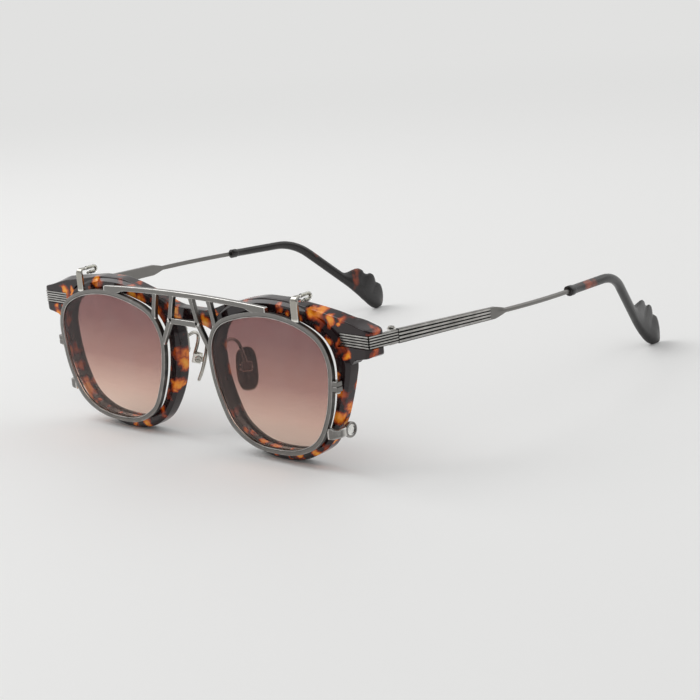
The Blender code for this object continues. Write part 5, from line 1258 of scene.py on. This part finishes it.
def screw_mesh(name, centre, axis, shank, foot, head, seat, height, side):
    """A screw: a plain shank and a low head with an eased edge, and a slot sawn across it."""
    c, s = quarter(6)
    ease = 0.35 * height
    profile = [(shank * 0.7, foot), (shank, foot + 0.2 * shank), (shank, seat)]
    profile += [(head - 0.05 * MM, seat), (head, seat + 0.1 * height)]
    profile += list(zip(head - ease * (1 - c), seat + height - ease * (1 - s)))
    profile += [(head * 0.3, seat + height * 1.02)]
    body = make_mesh(name, [skin(turned_loops(profile, centre, axis))], side)
    axis = unit(axis)
    across = unit(np.cross(axis, (0.0, 0.5, 0.87)))
    corners = np.array(((-2.0, -0.14), (2.0, -0.14), (2.0, 0.14), (-2.0, 0.14))) * head
    path = centre + np.array((seat + 0.5 * height, seat + 3 * height))[:, None] * axis
    cutter = make_mesh(name, [skin(carried(corners, path, across, np.cross(axis, across)))], side)
    return cut_mesh(name, body, [(cutter, "DIFFERENCE")])


def arm_plate_line(share):
    """The middle of a pad arm's plate on the back of the rim, along its nose side."""
    z = LENS_TOP - ARM_PLATE_TOP - np.asarray(share) * ARM_PLATE_LENGTH
    return ring_side(LENS_CURVE, 0.0, z, -1.0) - RIM_WIDTH / 2, z


def screws_and_rivets():
    """Hinge, pad and rim screws with their slots, and the domed rivets of the pad arms."""
    barrel, box, block = BARREL_HEIGHT / 2, BOX_WIDTH / 2 + FIT / 2, CLOSING_BLOCK_HEIGHT / 2
    kinds = (
        ("hinge_pin_screw", "hinge_screw", HINGE, UP,
         HINGE_SCREW_RADIUS, -barrel, HINGE_HEAD_RADIUS, barrel + FIT / 2, HINGE_HEAD_SHOWN),
        ("pad_box_screw", "pad_screw", PAD_SCREW, -ALONG,
         PAD_SCREW_RADIUS, -box, PAD_HEAD_RADIUS, box, PAD_HEAD_HEIGHT),
        ("closing_screw", "rim_screw", RIM_SCREW, -UP,
         RIM_SCREW_RADIUS, -block, RIM_HEAD_RADIUS, block + FIT / 2, RIM_HEAD_HEIGHT),
    )
    for word, side in SIDES:
        for name, node, *sizes in kinds:
            mesh = screw_mesh(f"{name}_{word}", *sizes, side)
            add_piece(f"{name}_{word}", mesh, f"{node}_{word}", sharp=40.0)
    seat = RIM_BACK + BRAZE + ARM_PLATE_THICKNESS + FIT / 2
    c, s = quarter(8, last=85)
    foot = RIM_BACK - RIVET_DEPTH
    profile = [(RIVET_RADIUS * 0.8, foot), (RIVET_RADIUS, foot + 0.1 * MM), (RIVET_RADIUS, seat)]
    profile += list(zip(RIVET_HEAD_RADIUS * c, seat + RIVET_HEAD_HEIGHT * s))
    for place, share in zip(("upper", "lower"), RIVET_SHARES):
        x, z = arm_plate_line(share)
        shell = skin(turned_loops(profile, (x, 0.0, z), (0.0, 1.0, 0.0)))
        add_pair(f"domed_rivet_{place}", f"pad_rivet_{place}", [shell])


def nose_pads():
    """Both metal nose pads: a dished superellipse leaf and the lug that its screw goes through.

    The leaf's edge is |y/a|^n + |z/b|^n = 1, its rim is rolled by a half circle and its middle is
    bowed towards the nose by the square of the height.
    """
    turn = np.arange(64)[None] * 2 * math.pi / 64
    power = PAD_SQUARENESS
    full = (np.abs(np.cos(turn)) ** power + np.abs(np.sin(turn)) ** power) ** (1 / power)
    roll = np.radians(np.linspace(-90, 90, 9))
    flat = np.array((0.03, 0.25, 0.5, 0.75))
    depth = np.concatenate([0 * flat, 0.5 + 0.5 * np.sin(roll), 1 + 0 * flat])[:, None]
    share = np.concatenate([flat, 0.92 + 0.08 * np.cos(roll), flat[::-1]])[:, None]
    y, z = np.cos(turn) / full * PAD_WIDTH / 2 * share, np.sin(turn) / full * PAD_LENGTH / 2 * share
    out = depth * PAD_THICKNESS - PAD_DISH * (z / (PAD_LENGTH / 2)) ** 2
    middle = PAD_SCREW + NOSE * PAD_STANDOFF - RISE * PAD_DROP
    leaf = middle + out[..., None] * NOSE + y[..., None] * ALONG + z[..., None] * RISE
    half = (BOX_WIDTH - 2 * BOX_CHEEK) / 2 - FIT / 2
    turn = np.radians(np.linspace(90, 270, 19))
    reach = PAD_STANDOFF + PAD_THICKNESS / 2
    bow = LUG_RADIUS * np.stack([np.cos(turn), np.sin(turn)], axis=1)
    lug = np.vstack([bow, ((reach, -LUG_RADIUS), (reach, LUG_RADIUS))])
    size = np.array((0.93, 1.0, 1.0, 0.93))[:, None, None]
    path = PAD_SCREW + eased_run(-half, half, 0.08 * MM) * ALONG
    add_pair("metal_nose_pad", "nose_pad", [skin(leaf), skin(carried(lug * size, path, NOSE, RISE))])


def arm_plate_shell():
    """The plate of a pad arm on the rim: a strip that follows the rim's nose side, its ends rounded.

    Its half width is h sqrt(1 - (1 - d/h)^2) at a distance d below h from an end, a half circle.
    """
    near_end = np.array((0.0, 0.01, 0.03, 0.06, 0.1))
    share = np.concatenate([near_end, np.linspace(0.16, 0.84, 12), 1 - near_end[::-1]])
    x, z = arm_plate_line(share)
    half = ARM_PLATE_WIDTH / 2
    end = np.minimum(1.0, np.minimum(share, 1 - share) * ARM_PLATE_LENGTH / half)
    wide = half * np.sqrt(np.maximum(0.05, 1 - (1 - end) ** 2))
    seat = RIM_BACK + BRAZE
    section = rounded_box(-seat - ARM_PLATE_THICKNESS, -seat, -wide, wide, 0.2 * MM, 0.03 * MM, steps=4)
    path = np.stack([x, 0 * x, z], axis=1)
    return skin(carried(section, path, (0.0, -1.0, 0.0), (1.0, 0.0, 0.0)))


def pad_arms():
    """Both pad arms: the plate, the bent wire and the box that holds the pad."""
    x, z = arm_plate_line(WIRE_ROOT_SHARE)
    root = np.array((x, RIM_BACK + BRAZE + ARM_PLATE_THICKNESS / 2, z))
    clear = LUG_RADIUS + FIT
    heel = PAD_SCREW - NOSE * (clear + BOX_CHEEK / 2) + RISE * BOX_HEIGHT / 2
    reach = heel - root
    first, second, third = (root + reach * share for share in PAD_WIRE_SHARES)
    points = [root, first + RISE * PAD_WIRE_RADIUS, second, third, heel - RISE * BOX_HEIGHT / 4]
    wire = wire_loops(smooth_path(points, 10), PAD_WIRE_RADIUS, ALONG + NOSE * 0.3)
    half_height, half_width = BOX_HEIGHT / 2, BOX_WIDTH / 2
    side = rounded_box(-clear - BOX_CHEEK, LUG_RADIUS, -half_height, half_height, 0.3 * MM, 0.3 * MM)
    base = rounded_box(-clear - BOX_CHEEK, -clear, -half_height, half_height, 0.2 * MM, 0.05 * MM)
    soft, cheek = 0.12 * MM, half_width - BOX_CHEEK
    size = np.array((0.94, 1.0, 1.0, 0.94))[:, None, None]
    shells = [arm_plate_shell(), skin(wire)]
    for low, high in ((-half_width, -cheek), (cheek, half_width)):
        path = PAD_SCREW + eased_run(low, high, soft) * ALONG
        shells.append(skin(carried(side * size, path, NOSE, RISE)))
    path = PAD_SCREW + np.array((-cheek - soft, cheek + soft))[:, None] * ALONG
    shells.append(skin(carried(base, path, NOSE, RISE)))
    add_pair("bent_pad_arm", "pad_arm", shells, sharp=40.0)


# Clip hooks as they are seen: heights of the wire's two runs, its turn, the strap's bend, the sleeve
ARCH_Z = 0.05118
RETURN_Z = 0.04959
HOOK_TURN = HOOK_REST - 0.0001
HOOK_BEND = 0.0010
SLEEVE_OUTSIDE = 0.00063


def hook_wire_line(start):
    """The hook's wire: back over the brow from a start, a half circle down, and forward again."""
    curl = (ARCH_Z - RETURN_Z) / 2
    turn = np.radians(np.linspace(90, -90, 19))
    arch = np.stack([np.linspace(start, HOOK_TURN, 8), np.full(8, ARCH_Z)], axis=1)
    bend = np.stack([HOOK_REST + curl * np.cos(turn), (ARCH_Z + RETURN_Z) / 2 + curl * np.sin(turn)], axis=1)
    back = np.stack([np.linspace(HOOK_TURN, HOOK_REST - CURL_RETURN, 8), np.full(8, RETURN_Z)], axis=1)
    return np.insert(np.vstack([arch, bend, back]), 0, HOOK_PLACE, axis=1)


def hook_strap():
    """The hook's flat strap: up from the clip rim, back over its shoulder, and narrowed to the wire."""
    middle = CLIP_FRONT + CLIP_BAR_SETBACK + HOOK_THICKNESS / 2
    foot = ring_height(LENS_CURVE, CLIP_RIM, HOOK_PLACE - HOOK_WIDTH / 2) + BRAZE - 0.5 * MM
    c, s = quarter(10)
    low = ARCH_Z - HOOK_BEND
    y = np.concatenate([(middle, middle, middle), middle + HOOK_BEND * (1 - c), (-1.9 * MM, -1.2 * MM)])
    z = np.concatenate([(foot, foot + 1 * MM, low - 0.4 * MM), low + HOOK_BEND * s, (ARCH_Z, ARCH_Z)])
    path = np.stack([np.full(len(y), HOOK_PLACE), y, z], axis=1)
    t = np.concatenate([(0.0, 0.0, 0.0), np.linspace(0.08, 0.85, 10), (0.95, 1.0)])
    half = HOOK_WIDTH / 2 * (1 - 0.56 * t**1.4)
    thick = HOOK_THICKNESS / 2 * (1 - 0.15 * t)
    section = rounded_box(-thick, thick, -half, half, 0.22 * MM, 0.22 * MM, steps=5)
    return skin(carried(section, path, np.cross((1.0, 0.0, 0.0), directions(path)), (1.0, 0.0, 0.0)))


def hooks():
    """Both brow hooks: the strap, the curled wire and its balled end."""
    wire = hook_wire_line(-2.2 * MM)
    turn = np.radians(np.linspace(-80, 80, 11))
    knob = HOOK_WIRE_RADIUS * 1.35 * np.stack([np.cos(turn), np.sin(turn)], axis=1)
    shells = [hook_strap(), skin(wire_loops(wire, HOOK_WIRE_RADIUS, (1.0, 0.0, 0.0)))]
    shells.append(skin(turned_loops(knob, wire[-1], (0.0, 1.0, 0.0))))
    add_pair("curled_hook", "top_hook", shells, sharp=40.0)


def hook_sleeves():
    """Both clear sleeves: a soft tube on the curled wire, thick outside and snug inside, ends rolled."""
    path = hook_wire_line(-1.3 * MM)[:-2]
    run = np.concatenate([[0.0], np.cumsum(np.linalg.norm(np.diff(path, axis=0), axis=1))])
    near_end = np.clip(np.minimum(run, run[-1] - run) / (0.2 * MM), 0.0, 1.0)
    inner, lip = HOOK_WIRE_RADIUS + 0.03 * MM, 0.08 * MM
    wall = inner + lip + (SLEEVE_OUTSIDE - inner - lip) * np.sqrt(1 - (1 - near_end) ** 2)
    outside, inside = (wire_loops(path, radius, (1.0, 0.0, 0.0), sides=28) for radius in (wall, inner))
    tube = skin(np.concatenate([outside, inside[::-1]]), around=True)
    add_pair("clear_hook_sleeve", "hook_sleeve", [tube], sharp=60.0)


CLAW_Z = RIM_CHIN + CLAW_ABOVE_CHIN
CLAW_CUP = np.array((
    ring_side(RIM_CURVE, 0.0, CLAW_Z + CLAW_FOOT_RADIUS) + FIT + CLAW_FOOT_WIDTH + CLAW_CUP_WIDTH / 2,
    CLAW_CUP_BACK, CLAW_Z,
))


def claw_strap():
    """A claw's strap: in plan it goes out, turns by a quarter circle and runs back to the cup."""
    half = CLAW_THICKNESS / 2
    start = ring_side(LENS_CURVE, CLIP_RIM, CLAW_Z + CLAW_HEIGHT / 4) + BRAZE
    front, bend = (CLIP_FRONT + CLIP_BACK) / 2, 2 * CLAW_THICKNESS
    side, back = CLAW_CUP[0], CLAW_CUP[1] - CLAW_NECK_SHARE * CLAW_CUP_RADIUS
    c, s = quarter(11)
    x = np.concatenate([(start, start + 0.5 * (side - bend - start)), side - bend + bend * s, (side,)])
    y = np.concatenate([(front, front), front + bend - bend * c, (back,)])
    path = np.stack([x, y, np.full(len(x), CLAW_Z)], axis=1)
    t = np.minimum(1.0, np.linspace(0.0, 1.6, len(x)))
    tall = (CLAW_ROOT_HEIGHT + (CLAW_HEIGHT - CLAW_ROOT_HEIGHT) * t) / 2
    section = rounded_box(-half, half, -tall, tall, 0.25 * MM, 0.25 * MM, steps=5)
    return skin(carried(section, path, np.cross(directions(path), UP), UP))


def claws():
    """Both claws: an eased strap from the clip rim round the acetate's side to a turned cup.

    The cup's wall is a superellipse, cos and sin to the power 0.6. The soft plug in the cup is
    turned, with the rings that moulding leaves.
    """
    wide, wall = CLAW_CUP_WIDTH / 2, (CLAW_CUP_RADIUS - CLAW_CUP_BORE) / 2
    roll = np.radians(np.arange(24) * 15.0)
    square = np.stack([np.cos(roll), np.sin(roll)], axis=1)
    square = np.sign(square) * np.abs(square) ** 0.6
    profile = (CLAW_CUP_BORE + wall, 0.0) + square * (wall, wide)
    cup = skin(turned_loops(profile, CLAW_CUP, (1.0, 0.0, 0.0), 40), around=True)
    add_pair("bent_claw", "side_claw", [claw_strap(), cup], sharp=45.0)
    stem, inner = CLAW_CUP_BORE - 0.04 * MM, -wide - FIT / 2
    foot = inner - CLAW_FOOT_WIDTH + FIT / 2
    plug = [(0.1 * MM, foot), (CLAW_FOOT_RADIUS - EDGE, foot), (CLAW_FOOT_RADIUS, foot + EDGE)]
    plug += [(CLAW_FOOT_RADIUS, inner), (stem, inner), (stem, wide - 0.1 * MM), (stem - 0.12 * MM, wide)]
    rings = np.linspace(stem - 0.25 * MM, 0.1 * MM, 15)
    plug += list(zip(rings, wide - 0.04 * MM + 0.05 * MM * np.sin(np.arange(15) * math.pi / 2.5)))
    plug = skin(turned_loops(plug, CLAW_CUP, (1.0, 0.0, 0.0), 40))
    add_pair("soft_claw_plug", "claw_pad", [plug], sharp=60.0)


def add_camera():
    """The photograph's own view, given by its direction, its roll and the object's place in it."""
    azimuth, elevation, roll = (math.radians(a) for a in (CAMERA_AZIMUTH, CAMERA_ELEVATION, CAMERA_ROLL))
    flat = Vector((math.sin(azimuth), -math.cos(azimuth), 0.0))
    back = flat * math.cos(elevation) + Vector((0.0, 0.0, math.sin(elevation)))
    level = Vector((math.cos(azimuth), math.sin(azimuth), 0.0))
    above = back.cross(level)
    right = level * math.cos(roll) + above * math.sin(roll)
    up = above * math.cos(roll) - level * math.sin(roll)
    place = right * CAMERA_ACROSS + up * CAMERA_UP + back * CAMERA_DISTANCE
    data = bpy.data.cameras.new("camera")
    data.lens = CAMERA_LENS
    data.sensor_width = SENSOR
    data.clip_start = 0.01
    camera = add_object("camera", data)
    axes = Matrix((right, up, back)).transposed().to_4x4()
    camera.matrix_world = Matrix.Translation(place + Vector((0.0, FRONT_PLANE, 0.0))) @ axes
    bpy.context.scene.camera = camera


BACKDROP = "#E1E1E0"
PAPER = "#F0F0EF"
ROOM_STRENGTH = 0.6  # of the white room as matt surfaces see it
DARK_SIDE = 0.22  # of the paper's brightness, behind the camera, as gloss sees it


def add_world():
    """An even pale room: seen as the backdrop's colour, and as a softer light by matt surfaces.

    Gloss shows the paper ahead of the camera and, behind it, the darker side of the studio.
    """
    world = bpy.data.worlds.new("pale_room")
    bpy.context.scene.world = world
    world.use_nodes = True
    tree = world.node_tree
    tree.nodes.clear()
    path = add_node(tree, "LightPath").outputs
    seen = path["Is Camera Ray"]
    for ray in ("Is Glossy Ray", "Is Transmission Ray"):
        seen = add_node(tree, "Math", {0: seen, 1: path[ray]}, operation="MAXIMUM").outputs[0]
    toward = (-math.sin(math.radians(CAMERA_AZIMUTH)), math.cos(math.radians(CAMERA_AZIMUTH)), 0.0)
    way = add_node(tree, "TexCoord").outputs["Generated"]
    ahead = add_node(tree, "VectorMath", {0: way, 1: toward}, operation="DOT_PRODUCT").outputs["Value"]
    paper = add_node(
        tree, "MapRange", {"Value": ahead, "From Min": -0.5, "From Max": 0.3, "To Min": DARK_SIDE},
        interpolation_type="SMOOTHSTEP",
    ).outputs[0]
    direct = add_node(tree, "Math", {0: 1.0, 1: path["Is Glossy Ray"]}, operation="SUBTRACT").outputs[0]
    strength = add_node(tree, "Math", {0: paper, 1: direct}, operation="MAXIMUM").outputs[0]
    lit = add_node(tree, "Background", {"Color": linear("#FFFFFF"), "Strength": ROOM_STRENGTH})
    shown = add_node(tree, "Background", {"Color": linear(BACKDROP), "Strength": strength})
    mixed = add_node(tree, "MixShader", {0: seen, 1: lit.outputs[0], 2: shown.outputs[0]})
    add_node(tree, "OutputWorld", {"Surface": mixed.outputs[0]})


def add_floor():
    """A wide pale disc that keeps the shadow near the object and fades into the room far from it."""
    rings = np.array((0.0005, 0.4, 1.0, 2.0, 6.0, 20.0))
    turn = np.linspace(0.0, 2 * math.pi, 64, endpoint=False)
    rim = np.stack([np.cos(turn), np.sin(turn), 0 * turn], axis=1)
    points, quads, caps = skin(rings[:, None, None] * rim[None])
    mesh = bpy.data.meshes.new("floor")
    mesh.from_pydata(points.tolist(), [], quads.tolist() + [caps[0].tolist()])
    floor = add_object("floor", mesh)
    made, tree, output, place = new_material("pale_paper_backdrop")
    reach = add_node(tree, "VectorMath", {0: place}, operation="LENGTH").outputs["Value"]
    far = add_node(
        tree, "MapRange", {"Value": reach, "From Min": 0.3, "From Max": 1.1}, interpolation_type="SMOOTHSTEP"
    ).outputs[0]
    paper = add_node(tree, "BsdfPrincipled", {"Base Color": linear(PAPER), "Roughness": 0.6})
    glow = add_node(tree, "Emission", {"Color": linear(BACKDROP), "Strength": 1.0})
    matt = add_node(tree, "LightPath").outputs["Is Glossy Ray"]
    shown = add_node(tree, "Math", {0: 1.0, 1: matt}, operation="SUBTRACT").outputs[0]
    far = add_node(tree, "Math", {0: far, 1: shown}, operation="MULTIPLY").outputs[0]
    mixed = add_node(tree, "MixShader", {0: far, 1: paper.outputs[0], 2: glow.outputs[0]})
    tree.links.new(mixed.outputs[0], output.inputs["Surface"])
    mesh.materials.append(made)


def add_softbox(name, place, aim, size, watts):
    """A square lamp of a size in metres that faces a point."""
    data = bpy.data.lights.new(name, "AREA")
    data.shape = "SQUARE"
    data.size = size
    data.energy = watts
    lamp = add_object(name, data)
    lamp.location = place
    lamp.rotation_euler = (Vector(aim) - Vector(place)).to_track_quat("-Z", "Y").to_euler()


add_camera()
add_world()
add_floor()
# A wide soft key from the front left, and a weaker light from behind that draws the top edges
add_softbox("key_softbox", (-0.75, -0.3, 0.95), (0.0, 0.0, 0.0), 0.9, 6.4)
add_softbox("rim_softbox", (0.35, 0.75, 0.8), (0.0, 0.0, 0.02), 0.9, 1.4)

acetate_front()
lenses()
clip_front()
end_pieces()
temples()
tips()
screws_and_rivets()
nose_pads()
pad_arms()
hooks()
hook_sleeves()
claws()

bpy.context.scene.view_settings.view_transform = "Standard"
